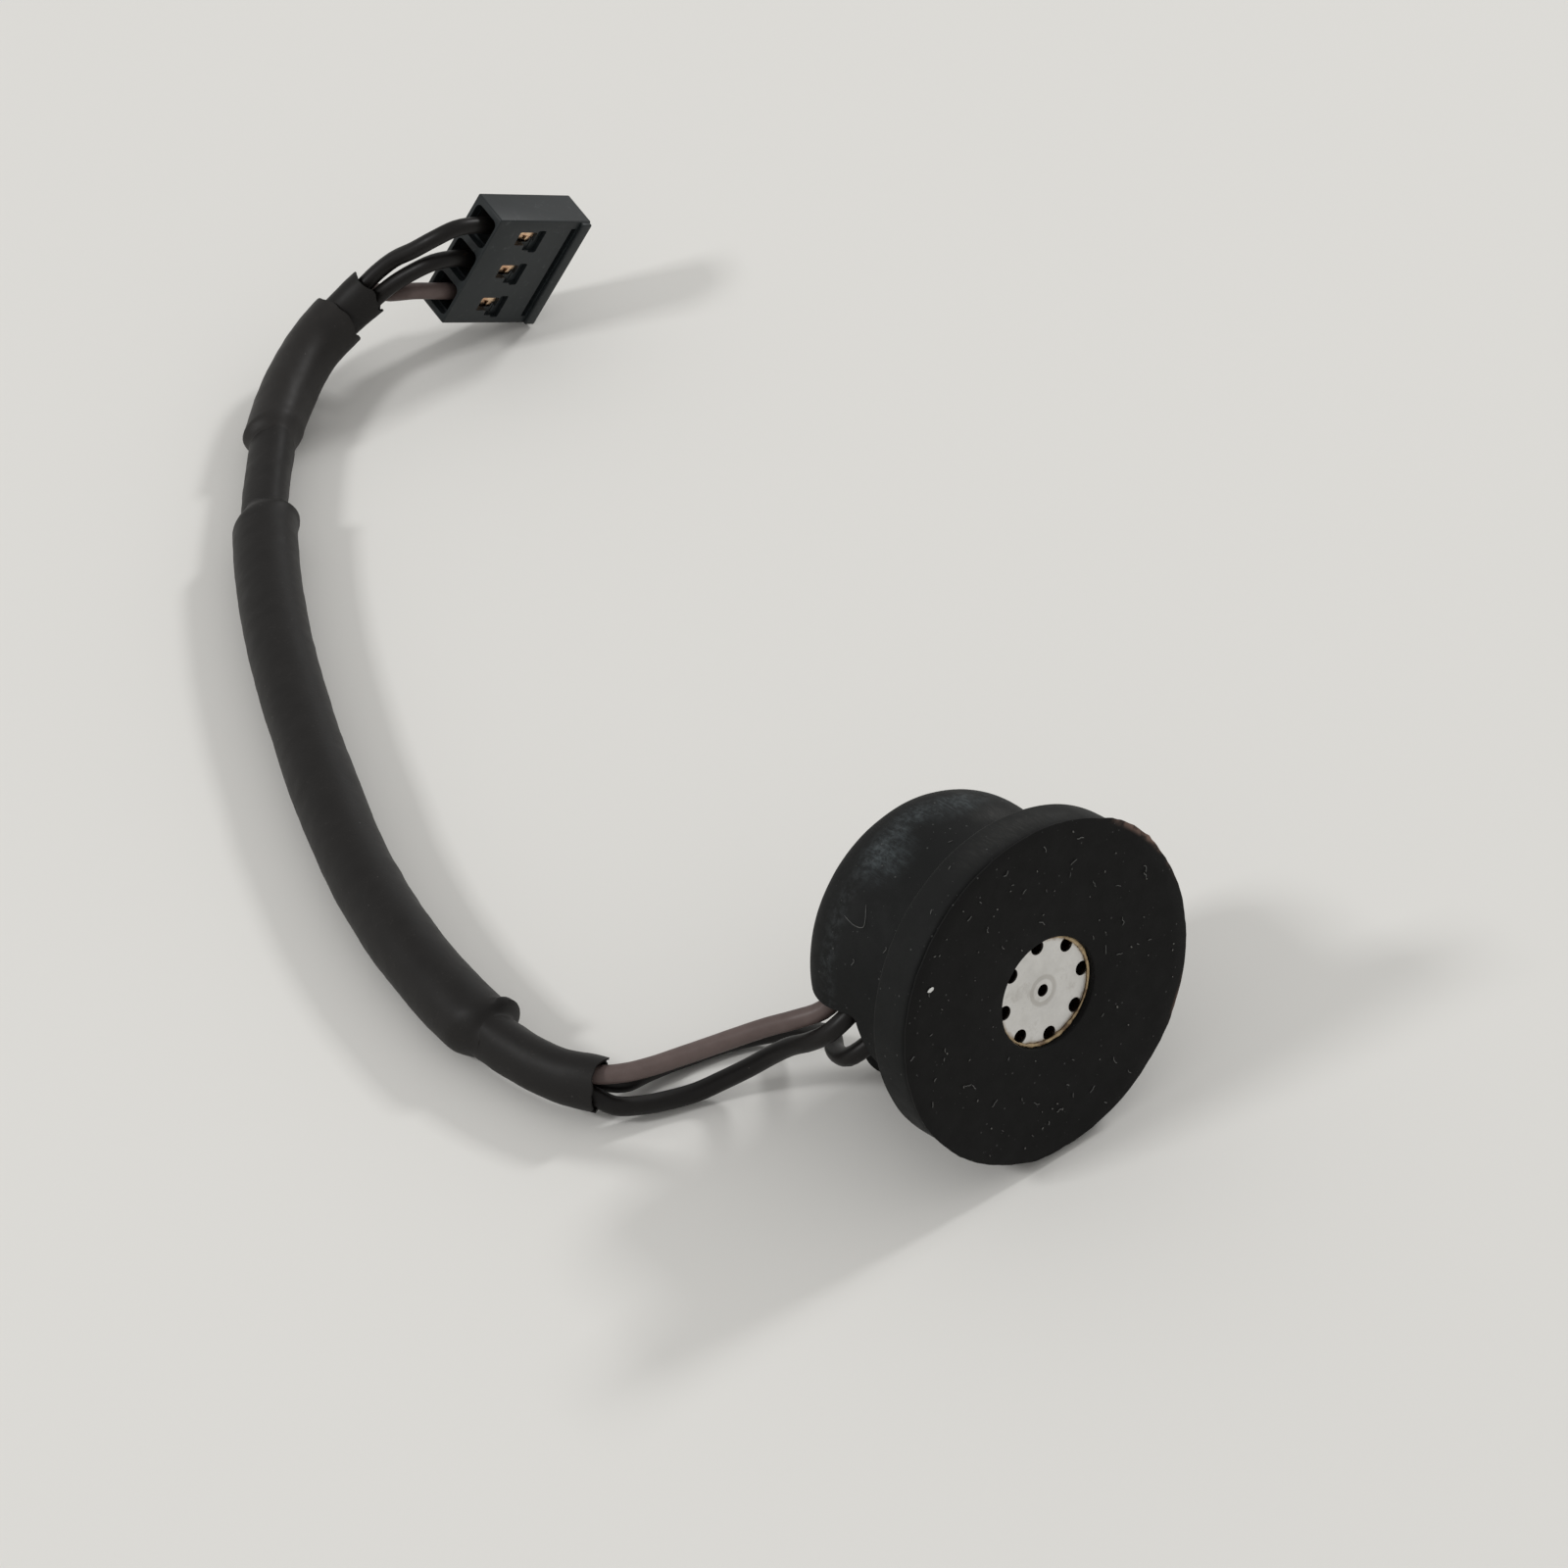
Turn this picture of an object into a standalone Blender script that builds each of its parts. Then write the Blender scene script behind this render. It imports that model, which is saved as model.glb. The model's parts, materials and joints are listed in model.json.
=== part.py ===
"""Electret microphone capsule in a spool-shaped rubber boot, with its short three-wire lead.

The boot lies on its side on the ground, Z up. Its face looks towards -Y and a little up,
because its wide band and its narrower rear lobe both touch the ground. The lead lies on the
ground too, and ends in a three-way crimp plug. The origin is on the ground, under the middle
of the boot. Depths are measured from the boot's face, back along the boot's axis.
"""

import math

import bmesh
import bpy
from mathutils import Euler, Matrix, Vector

MM = 0.001

# Clearances
SEAT = 0.02 * MM            # between faces that rest on each other
FIT = 0.03 * MM             # round a piece that sits in a bore
WELD = 0.001 * MM           # distance for merging doubled points

# Rubber boot
RIM_RADIUS = 7.25 * MM      # the thin moulding lip round the face
RIM_THICKNESS = 0.14 * MM
BAND_RADIUS = 7.12 * MM
BAND_LENGTH = 2.25 * MM
BAND_EDGE = 0.22 * MM
GROOVE_RADIUS = 5.45 * MM
GROOVE_FILLET = 0.9 * MM
LOBE_RADIUS = 6.0 * MM
LOBE_DEPTH = 6.6 * MM       # where the lobe is widest
LOBE_ROUND = 1.0 * MM       # how far its end draws in
BOOT_LENGTH = 8.3 * MM
FACE_OPENING = 2.3 * MM     # radius
LIP_THICKNESS = 0.5 * MM
REAR_OPENING = 3.6 * MM     # radius
NOTCH_ANGLE = math.radians(205.0)
NOTCH_WIDTH = 4.6 * MM
NOTCH_MARGIN = 0.04 * MM

# Microphone capsule
CAN_RADIUS = 4.85 * MM
CAN_LENGTH = 4.5 * MM
CAN_WALL = 0.25 * MM
CAN_FRONT = 0.3 * MM        # thickness of the pierced front
CAN_CURL = 0.8 * MM         # how far the rear edge is rolled in
PORT_RADIUS = 0.28 * MM
PORT_CIRCLE = 1.95 * MM
PORT_COUNT = 8
GLUE_WIDTH = 0.15 * MM
GLUE_HEIGHT = 0.26 * MM
RING_THICKNESS = 0.45 * MM
RING_BORE = 3.7 * MM
FILM_THICKNESS = 0.04 * MM
FILM_GAP = 0.1 * MM         # round the film's free edge
SPACER_THICKNESS = 0.08 * MM
PLATE_RADIUS = 4.0 * MM
PLATE_THICKNESS = 0.4 * MM
PLATE_HOLE_RADIUS = 0.35 * MM
PLATE_HOLE_CIRCLE = 2.2 * MM
PLATE_HOLE_COUNT = 6
SHOULDER_WIDTH = 0.45 * MM  # of the holder, under the back plate
CONTACT_WALL = 0.3 * MM
BOARD_THICKNESS = 0.5 * MM
TRANSISTOR_SIZE = (2.8 * MM, 1.5 * MM, 1.0 * MM)
CAPACITOR_SIZE = (1.0 * MM, 0.5 * MM, 0.5 * MM)
CAPACITOR_OFFSET = 1.5 * MM
CHIP_BEVEL = 0.08 * MM
LAND_RADIUS = 0.75 * MM
LAND_THICKNESS = 0.05 * MM
SOLDER_RADIUS = 0.6 * MM
SOLDER_HEIGHT = 0.5 * MM
SOLDER_SETBACK = 1.4 * MM   # from the axis, away from the notch
SOLDER_PITCH = 1.7 * MM

# Lead
WIRE_RADIUS = 0.4 * MM
WIRE_SIDES = 8
WIRE_GAP = 0.02 * MM
WIRE_START = 0.06 * MM      # from a wire's end to its joint or barrel
WIRE_STRAIGHT = 1.0 * MM    # of a wire behind the plug
INNER_SLEEVE_WALL = 0.18 * MM
MAIN_SLEEVE_WALL = 0.32 * MM
UPPER_SLEEVE_WALL = 0.17 * MM
SLEEVE_STEPS = 33
SLEEVE_SIDES = 12
MAIN_SLEEVE_SPAN = (3, 24)  # of the lead's steps
UPPER_SLEEVE_SPAN = (27, 32)
BUNDLE_TWIST = math.radians(-120.0)  # of the wires, over the lead's length
LEG_STEPS = 5               # between two points of a wire's own route

# Plug
PLUG_PITCH = 2.0 * MM
PLUG_END = 1.15 * MM        # from the outer contacts to the ends
PLUG_LENGTH = 5.9 * MM
PLUG_HEIGHT = 2.2 * MM
PLUG_LIP = 0.2 * MM
PLUG_LIP_LENGTH = 0.7 * MM
CAVITY_LEVEL = (PLUG_HEIGHT - PLUG_LIP) / 2  # above the blind face
CAVITY_SIDE = 1.4 * MM
WINDOW_SIZE = (0.8 * MM, 0.95 * MM)
WINDOW_PLACE = -0.75 * MM   # from the plug's middle
RECESS_SIZE = (0.6 * MM, 1.15 * MM)
RECESS_DEPTH = 0.2 * MM
RECESS_GAP = 0.25 * MM      # between a window and its recess
PLUG_PLACE = (16.0161 * MM, 53.4638 * MM, 4.5246 * MM)  # middle of its blind face
PLUG_TURN = (math.radians(104.376), math.radians(25.3698), math.radians(1.5917))
TERMINAL_SIDE = 1.14 * MM
TERMINAL_BOX = 2.9 * MM
TERMINAL_WALL = 0.13 * MM
BARREL_LENGTH = 0.9 * MM
BARREL_SIDE = 0.6 * MM
TERMINAL_REAR = -1.1 * MM   # back of the contact box, from the plug's middle

# Round pieces
BOOT_SIDES = 48
CAPSULE_SIDES = 36
SMALL_SIDES = 16
SHARP = math.radians(35.0)

# The lead's middle line along the ground, from the boot's end, and then its rise to the plug, in mm.
LEAD_ROUTE = [
    (-13.25, 8.45), (-13.95, 9.65), (-14.5, 11.6), (-14.75, 14.1), (-14.6, 17.0),
    (-14.05, 20.6), (-12.95, 24.8), (-11.45, 28.9), (-10.05, 32.3), (-8.35, 36.1),
    (-6.5, 39.8), (-4.4, 43.45), (-2.05, 46.95), (0.6, 50.2),
]
LEAD_RISE = [(2.2, 52.0, 1.62), (4.4, 53.75, 1.93), (6.33, 54.8, 2.4), (7.96, 55.03, 3.1),
             (9.34, 54.72, 4.0)]

# Each wire's route out of the boot, in mm: first through the notch, as (outwards, across, depth),
# and then as (x, y, z), over the ground and between the lead's end and the plug.
MAUVE_INSIDE = [(-1.4, -1.7, 5.9), (-0.7, -1.72, 6.55), (0.7, -1.75, 6.8), (2.6, -1.75, 6.85),
                (4.3, -1.75, 6.95), (5.6, -1.7, 7.2)]
MAUVE_OUTSIDE = [(-6.65, 3.8, 4.4), (-7.7, 4.6, 3.95), (-8.9, 5.4, 3.4), (-10.3, 6.25, 2.85),
                 (-12.0, 7.3, 2.25)]
MAUVE_FAN = [(10.12, 54.66, 3.7), (10.9, 53.8, 4.0)]
BLACK_INSIDE = [(-1.4, 0.0, 5.85), (-0.7, -0.1, 6.35), (0.8, -0.6, 6.3), (2.6, -1.3, 6.1),
                (4.4, -1.65, 6.0), (5.8, -1.5, 6.15)]
BLACK_OUTSIDE = [(-6.5, 2.9, 3.8), (-6.9, 4.1, 2.75), (-7.6, 5.0, 1.65), (-8.7, 5.75, 0.85),
                 (-10.2, 6.3, 0.5), (-12.7, 7.15, 0.8)]
BLACK_FAN = [(10.2, 53.68, 4.78), (10.95, 53.1, 5.45), (11.55, 52.65, 5.85)]
SCREEN_INSIDE = [(-1.4, 1.7, 5.85), (-0.7, 1.6, 6.25), (0.8, 1.2, 6.15), (2.6, 0.6, 5.9),
                 (4.2, 0.15, 5.7), (5.4, 0.05, 5.75), (6.15, 0.3, 6.35), (6.2, 0.65, 7.4),
                 (5.6, 0.95, 8.6)]
SCREEN_OUTSIDE = [(-4.75, 5.9, 1.05), (-5.65, 7.0, 0.55), (-7.0, 7.65, 0.45), (-8.6, 8.0, 0.45),
                  (-10.3, 8.2, 0.6), (-12.0, 8.05, 1.0)]
SCREEN_FAN = [(10.3, 54.15, 5.68), (11.05, 53.15, 6.6), (11.85, 52.4, 7.35)]


def clear_scene():
    """Start from an empty scene."""
    for item in list(bpy.data.objects):
        bpy.data.objects.remove(item)


def material(name, colour, roughness, metallic=0.0):
    """A plain Principled material."""
    made = bpy.data.materials.new(name)
    made.use_nodes = True
    shader = made.node_tree.nodes["Principled BSDF"]
    shader.inputs["Base Color"].default_value = (*colour, 1.0)
    shader.inputs["Roughness"].default_value = roughness
    shader.inputs["Metallic"].default_value = metallic
    return made


def add_object(name, mesh, finish=None, parent=None, location=(0.0, 0.0, 0.0)):
    """Link a mesh to the scene as a named object."""
    made = bpy.data.objects.new(name, mesh)
    bpy.context.scene.collection.objects.link(made)
    made.parent = parent
    made.location = location
    if finish is not None:
        mesh.materials.append(finish)
    return made


def add_empty(name, location, rotation):
    """A frame that carries other pieces."""
    made = bpy.data.objects.new(name, None)
    made.empty_display_size = 2.0 * MM
    made.location = location
    made.rotation_euler = rotation
    bpy.context.scene.collection.objects.link(made)
    return made


def finish_mesh(shape, name):
    """Turn a bmesh into a smooth mesh with its flat faces kept sharp."""
    bmesh.ops.remove_doubles(shape, verts=shape.verts, dist=WELD)
    bmesh.ops.recalc_face_normals(shape, faces=shape.faces)
    mesh = bpy.data.meshes.new(name)
    shape.to_mesh(mesh)
    shape.free()
    mesh.shade_smooth()
    mesh.set_sharp_from_angle(angle=SHARP)
    return mesh


def turned_mesh(name, profile, sides):
    """Spin a profile of (radius, depth) points round the axis, with depth going down."""
    shape = bmesh.new()
    points = [shape.verts.new((radius, 0.0, -depth)) for radius, depth in profile]
    edges = [shape.edges.new(pair) for pair in zip(points, points[1:])]
    if profile[0][0] > 0.0:
        edges.append(shape.edges.new((points[-1], points[0])))
    bmesh.ops.spin(shape, geom=points + edges, axis=(0, 0, 1), cent=(0, 0, 0),
                   steps=sides, angle=math.tau, use_merge=True)
    return finish_mesh(shape, name)


def ring_profile(inner, outer, front, rear):
    """A square-edged ring."""
    return [(outer, front), (outer, rear), (inner, rear), (inner, front)]


def disc_profile(radius, front, rear):
    """A square-edged disc."""
    return [(0.0, front), (radius, front), (radius, rear), (0.0, rear)]


def quarter(radius_at, depth_at, radial, axial, steps=5):
    """Points of a quarter ellipse that runs from a wall's radius round to its end."""
    turns = [math.pi / 2 * step / steps for step in range(steps + 1)]
    return [(radius_at + radial * math.cos(turn), depth_at + axial * math.sin(turn)) for turn in turns]


def box_mesh(name, size, bevel=0.0):
    """A box centred on its origin, with its edges bevelled if asked."""
    shape = bmesh.new()
    bmesh.ops.create_cube(shape, size=1.0, matrix=Matrix.Diagonal((*size, 1.0)))
    if bevel:
        bmesh.ops.bevel(shape, geom=shape.edges[:], offset=bevel, segments=1, profile=0.5,
                        affect="EDGES", material=-1)
    return finish_mesh(shape, name)


def holes_mesh(name, radius, length, centres, sides=SMALL_SIDES):
    """Separate round pins along Z, one for each hole to cut."""
    shape = bmesh.new()
    for x, y in centres:
        bmesh.ops.create_cone(shape, cap_ends=True, segments=sides, radius1=radius, radius2=radius,
                              depth=length, matrix=Matrix.Translation((x, y, 0.0)))
    return finish_mesh(shape, name)


def cut(target, cutter):
    """Take a cutter's shape out of a piece."""
    cutter.hide_render = True
    cutter.display_type = "WIRE"
    change = target.modifiers.new("Cut by " + cutter.name, "BOOLEAN")
    change.operation = "DIFFERENCE"
    change.solver = "EXACT"
    change.object = cutter


def circle_points(radius, count):
    """Points spread evenly round the axis, the first on +X."""
    angles = [math.tau * step / count for step in range(count)]
    return [(radius * math.cos(angle), radius * math.sin(angle)) for angle in angles]


# The boot's outline and how it lies

def band_edge():
    """The rounded rear edge of the wide band."""
    return quarter(BAND_RADIUS - BAND_EDGE, BAND_LENGTH - BAND_EDGE, BAND_EDGE, BAND_EDGE, 3)


def waist():
    """The panel groove: a fillet down from the band, then an easy rise to the lobe."""
    start = BAND_LENGTH + SEAT
    turns = [math.pi / 2 * step / 5 for step in range(6)]
    fillet = [(GROOVE_RADIUS + GROOVE_FILLET * (1.0 - math.sin(turn)),
               start + GROOVE_FILLET * (1.0 - math.cos(turn))) for turn in turns]
    low = start + GROOVE_FILLET
    shares = [step / 6 for step in range(1, 7)]
    rise = [(GROOVE_RADIUS + (LOBE_RADIUS - GROOVE_RADIUS) * (1.0 - math.cos(math.pi * share)) / 2,
             low + (LOBE_DEPTH - low) * share) for share in shares]
    return fillet + rise


def lobe():
    """The rounded rear end."""
    return quarter(LOBE_RADIUS - LOBE_ROUND, LOBE_DEPTH, LOBE_ROUND, BOOT_LENGTH - LOBE_DEPTH, 7)


def boot_outline():
    """The whole outer side, from the face to the rear."""
    face = [(RIM_RADIUS - RIM_THICKNESS / 2, 0.0), (RIM_RADIUS, RIM_THICKNESS / 2),
            (RIM_RADIUS, RIM_THICKNESS), (BAND_RADIUS, RIM_THICKNESS * 1.5)]
    return face + band_edge() + waist() + lobe()[1:]


def resting_tilt():
    """The slope of the line that touches both the band's edge and the lobe."""
    slopes = []
    for band_radius, band_depth in band_edge():
        slopes.append(min((band_radius - radius) / (depth - band_depth) for radius, depth in lobe()))
    return math.atan(max(slopes))


TILT = resting_tilt()
FACE_HEIGHT = max(depth * math.sin(TILT) + radius * math.cos(TILT) for radius, depth in boot_outline())
FRONT_REACH = min(depth * math.cos(TILT) - radius * math.sin(TILT) for radius, depth in boot_outline())
REAR_REACH = max(depth * math.cos(TILT) + radius * math.sin(TILT) for radius, depth in boot_outline())
FACE_PLACE = Vector((0.0, -(FRONT_REACH + REAR_REACH) / 2, FACE_HEIGHT))

# Depths of the capsule's stack, front to rear
CAN_DEPTH = LIP_THICKNESS + FIT
CAN_REAR = CAN_DEPTH + CAN_LENGTH
POCKET_REAR = CAN_REAR + FIT
CAN_BORE = CAN_RADIUS - CAN_WALL
STACK_RADIUS = CAN_BORE - FIT
RING_FRONT = CAN_DEPTH + CAN_FRONT + SEAT
RING_REAR = RING_FRONT + RING_THICKNESS
SPACER_FRONT = RING_REAR + SEAT
PLATE_FRONT = SPACER_FRONT + SPACER_THICKNESS + SEAT
PLATE_REAR = PLATE_FRONT + PLATE_THICKNESS
BOARD_REAR = CAN_REAR - CAN_WALL - SEAT
BOARD_FRONT = BOARD_REAR - BOARD_THICKNESS
FILM_MIDDLE = (RING_REAR + PLATE_FRONT) / 2 - SEAT
CONTACT_RADIUS = PLATE_RADIUS - SHOULDER_WIDTH - FIT
LAND_REAR = BOARD_REAR + SEAT + LAND_THICKNESS
SOLDER_REAR = LAND_REAR + SEAT + SOLDER_HEIGHT


def notch_point(outwards, across, depth):
    """A place in the boot's frame, measured along and across the wire notch."""
    ahead = Vector((math.cos(NOTCH_ANGLE), math.sin(NOTCH_ANGLE), 0.0))
    aside = Vector((-ahead.y, ahead.x, 0.0))
    return ahead * outwards + aside * across - Vector((0.0, 0.0, depth))


def boot_to_world(point):
    """A place in the boot's frame, as it lies on the ground."""
    return FACE_PLACE + Matrix.Rotation(math.pi / 2 - TILT, 3, "X") @ point


# Boot and capsule

def make_boot(frame, rubber):
    """The rubber spool: face, band, groove and lobe, with a pocket and a notch for the wires."""
    pocket = CAN_RADIUS + FIT
    inside = [(REAR_OPENING, BOOT_LENGTH), (REAR_OPENING, POCKET_REAR), (pocket, POCKET_REAR),
              (pocket, LIP_THICKNESS), (FACE_OPENING, LIP_THICKNESS), (FACE_OPENING, 0.0)]
    mesh = turned_mesh("rubber_boot", boot_outline() + inside, BOOT_SIDES)
    boot = add_object("rubber_boot", mesh, rubber, frame)
    front = POCKET_REAR + NOTCH_MARGIN
    reach = LOBE_RADIUS + BAND_RADIUS
    mesh = box_mesh("wire_notch_cutter", (reach, NOTCH_WIDTH, BOOT_LENGTH))
    cutter = add_object("wire_notch_cutter", mesh, parent=frame)
    cutter.location = notch_point((REAR_OPENING + reach) / 2, 0.0, front + BOOT_LENGTH / 2)
    cutter.rotation_euler = (0.0, 0.0, NOTCH_ANGLE)
    cut(boot, cutter)


def make_can(frame, aluminium):
    """The capsule's drawn cup, its front pierced and its rear edge rolled over the board."""
    corner = CAN_WALL / 2
    lip = CAN_BORE - CAN_CURL + CAN_WALL
    profile = [(0.0, 0.0), (CAN_RADIUS - corner, 0.0), (CAN_RADIUS, corner),
               (CAN_RADIUS, CAN_LENGTH - corner), (CAN_RADIUS - corner, CAN_LENGTH),
               (lip, CAN_LENGTH), (lip, CAN_LENGTH - CAN_WALL), (CAN_BORE, CAN_LENGTH - CAN_WALL),
               (CAN_BORE, CAN_FRONT), (0.0, CAN_FRONT)]
    mesh = turned_mesh("capsule_can", profile, CAPSULE_SIDES)
    can = add_object("capsule_can", mesh, aluminium, frame, (0.0, 0.0, -CAN_DEPTH))
    ports = [(0.0, 0.0)] + circle_points(PORT_CIRCLE, PORT_COUNT)
    cutter_mesh = holes_mesh("port_cutter", PORT_RADIUS, CAN_FRONT * 3, ports)
    cutter = add_object("port_cutter", cutter_mesh, parent=frame, location=(0.0, 0.0, -CAN_DEPTH))
    cut(can, cutter)


def make_glue_ring(frame, glue):
    """What is left of the adhesive round the pierced face."""
    outer = FACE_OPENING - FIT
    rear = CAN_DEPTH - SEAT
    profile = ring_profile(outer - GLUE_WIDTH, outer, rear - GLUE_HEIGHT, rear)
    add_object("glue_ring", turned_mesh("glue_ring", profile, CAPSULE_SIDES), glue, frame)


def make_diaphragm(frame, brass, film, plastic):
    """The ring that holds the film, the film itself and the thin spacer behind it."""
    ring = ring_profile(RING_BORE, STACK_RADIUS, RING_FRONT, RING_REAR)
    add_object("diaphragm_ring", turned_mesh("diaphragm_ring", ring, CAPSULE_SIDES), brass, frame)
    half = FILM_THICKNESS / 2
    disc = disc_profile(RING_BORE - FILM_GAP, -half, half)
    add_object("diaphragm", turned_mesh("diaphragm", disc, CAPSULE_SIDES), film, frame,
               (0.0, 0.0, -FILM_MIDDLE))
    spacer = ring_profile(RING_BORE, STACK_RADIUS, SPACER_FRONT, SPACER_FRONT + SPACER_THICKNESS)
    add_object("spacer_ring", turned_mesh("spacer_ring", spacer, CAPSULE_SIDES), plastic, frame)


def make_back_plate(frame, brass):
    """The fixed plate behind the film, pierced to let the air through."""
    mesh = turned_mesh("back_plate", disc_profile(PLATE_RADIUS, PLATE_FRONT, PLATE_REAR), CAPSULE_SIDES)
    plate = add_object("back_plate", mesh, brass, frame)
    centres = circle_points(PLATE_HOLE_CIRCLE, PLATE_HOLE_COUNT)
    cutter_mesh = holes_mesh("plate_hole_cutter", PLATE_HOLE_RADIUS, PLATE_THICKNESS * 3, centres)
    cutter = add_object("plate_hole_cutter", cutter_mesh, parent=frame)
    cutter.location.z = -(PLATE_FRONT + PLATE_REAR) / 2
    cut(plate, cutter)


def make_holder(frame, plastic, brass):
    """The insulating holder that carries the back plate, and the contact ring inside it."""
    rear = BOARD_FRONT - SEAT
    recess = PLATE_RADIUS + FIT
    shoulder = PLATE_RADIUS - SHOULDER_WIDTH
    profile = [(STACK_RADIUS, PLATE_FRONT), (STACK_RADIUS, rear), (shoulder, rear),
               (shoulder, PLATE_REAR + SEAT), (recess, PLATE_REAR + SEAT), (recess, PLATE_FRONT)]
    add_object("plate_holder", turned_mesh("plate_holder", profile, CAPSULE_SIDES), plastic, frame)
    contact = ring_profile(CONTACT_RADIUS - CONTACT_WALL, CONTACT_RADIUS, PLATE_REAR + SEAT, rear)
    add_object("contact_ring", turned_mesh("contact_ring", contact, CAPSULE_SIDES), brass, frame)


def make_board(frame, laminate, plastic, ceramic):
    """The round circuit board with the parts on its hidden side."""
    board = disc_profile(STACK_RADIUS, BOARD_FRONT, BOARD_REAR)
    add_object("circuit_board", turned_mesh("circuit_board", board, CAPSULE_SIDES), laminate, frame)
    face = SEAT - BOARD_FRONT
    add_object("transistor", box_mesh("transistor", TRANSISTOR_SIZE, CHIP_BEVEL), plastic, frame,
               (0.0, 0.0, face + TRANSISTOR_SIZE[2] / 2))
    for number, side in ((1, -1.0), (2, 1.0)):
        name = f"capacitor_{number}"
        place = (0.0, side * CAPACITOR_OFFSET, face + CAPACITOR_SIZE[2] / 2)
        add_object(name, box_mesh(name, CAPACITOR_SIZE, CHIP_BEVEL / 2), ceramic, frame, place)


def make_solder(frame, copper, solder):
    """Three copper lands on the board's rear, each with its solder joint."""
    curve = quarter(0.0, 0.0, SOLDER_RADIUS, SOLDER_HEIGHT, 4)
    dome = [(0.0, 0.0), *curve[:-1], (0.0, SOLDER_HEIGHT)]
    for number in (1, 2, 3):
        across = (number - 2) * SOLDER_PITCH
        land = disc_profile(LAND_RADIUS, LAND_REAR - LAND_THICKNESS, LAND_REAR)
        name = f"solder_land_{number}"
        add_object(name, turned_mesh(name, land, SMALL_SIDES), copper, frame,
                   notch_point(-SOLDER_SETBACK, across, 0.0))
        name = f"solder_joint_{number}"
        add_object(name, turned_mesh(name, dome, SMALL_SIDES), solder, frame,
                   notch_point(-SOLDER_SETBACK, across, LAND_REAR + SEAT))


# Lead

def smooth_curve(route, steps):
    """Points on a smooth curve through all of a route's points."""
    ends = [route[0] * 2 - route[1], *route, route[-1] * 2 - route[-2]]
    points = []
    for before, start, end, after in zip(ends, ends[1:], ends[2:], ends[3:]):
        for step in range(steps):
            share = step / steps
            bend = (before * 2 - start * 5 + end * 4 - after) * share ** 2
            twist = (start * 3 - before - end * 3 + after) * share ** 3
            points.append((start * 2 + (end - before) * share + bend + twist) / 2)
    points.append(route[-1])
    return points


def even_points(points, count):
    """The same line, with its points spread evenly along its length."""
    lengths = [0.0]
    for start, end in zip(points, points[1:]):
        lengths.append(lengths[-1] + (end - start).length)
    spread = []
    place = 0
    for step in range(count + 1):
        target = lengths[-1] * step / count
        while place < len(points) - 2 and lengths[place + 1] < target:
            place += 1
        share = (target - lengths[place]) / (lengths[place + 1] - lengths[place])
        spread.append(points[place].lerp(points[place + 1], share))
    return spread


def tube_curve(name, points, radius, sides, capped=True):
    """A round tube along a line of points."""
    curve = bpy.data.curves.new(name, "CURVE")
    curve.dimensions = "3D"
    curve.bevel_depth = radius
    curve.bevel_resolution = sides // 2 - 2
    curve.use_fill_caps = capped
    spline = curve.splines.new("POLY")
    spline.points.add(len(points) - 1)
    for knot, point in zip(spline.points, points):
        knot.co = (*point, 1.0)
    return curve


BUNDLE_RADIUS = (WIRE_RADIUS * 2 + WIRE_GAP) / math.sqrt(3.0)


def sleeve_radius(content, wall):
    """Outer radius of a sleeve whose flat sides clear what it holds."""
    return (content + FIT + wall) / math.cos(math.pi / SLEEVE_SIDES)


INNER_SLEEVE_RADIUS = sleeve_radius(BUNDLE_RADIUS + WIRE_RADIUS, INNER_SLEEVE_WALL)
MAIN_SLEEVE_RADIUS = sleeve_radius(INNER_SLEEVE_RADIUS, MAIN_SLEEVE_WALL)
UPPER_SLEEVE_RADIUS = sleeve_radius(INNER_SLEEVE_RADIUS, UPPER_SLEEVE_WALL)


def lead_line():
    """The middle line of the sleeved lead, and at each point the directions to its left and up."""
    route = [Vector((x * MM, y * MM, MAIN_SLEEVE_RADIUS)) for x, y in LEAD_ROUTE]
    route += [Vector(point) * MM for point in LEAD_RISE]
    line = even_points(smooth_curve(route, 12), SLEEVE_STEPS)
    sides = []
    for step in range(len(line)):
        ahead = (line[min(step + 1, SLEEVE_STEPS)] - line[max(step - 1, 0)]).normalized()
        left = Vector((-ahead.y, ahead.x, 0.0)).normalized()
        sides.append((left, ahead.cross(left)))
    return line, sides


def add_curve(name, curve, finish):
    """Link a curve to the scene as a named object."""
    made = bpy.data.objects.new(name, curve)
    bpy.context.scene.collection.objects.link(made)
    curve.materials.append(finish)
    return made


def make_sleeve(name, points, radius, wall, finish):
    """A length of shrunk tubing, open at both ends."""
    guide = add_curve(name + "_guide", tube_curve(name, points, radius, SLEEVE_SIDES, capped=False), finish)
    mesh = bpy.data.meshes.new_from_object(guide.evaluated_get(bpy.context.evaluated_depsgraph_get()))
    bpy.data.objects.remove(guide)
    mesh.materials.clear()
    mesh.shade_smooth()
    sleeve = add_object(name, mesh, finish)
    thicken = sleeve.modifiers.new("Wall", "SOLIDIFY")
    thicken.thickness = wall
    thicken.offset = -1.0
    thicken.use_even_offset = True
    return sleeve


def plug_point(along, across, height):
    """A place in the plug's frame, as the plug leans on the ground."""
    place = Euler(PLUG_TURN).to_matrix() @ Vector((along, across, height))
    return Vector(PLUG_PLACE) + place


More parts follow.
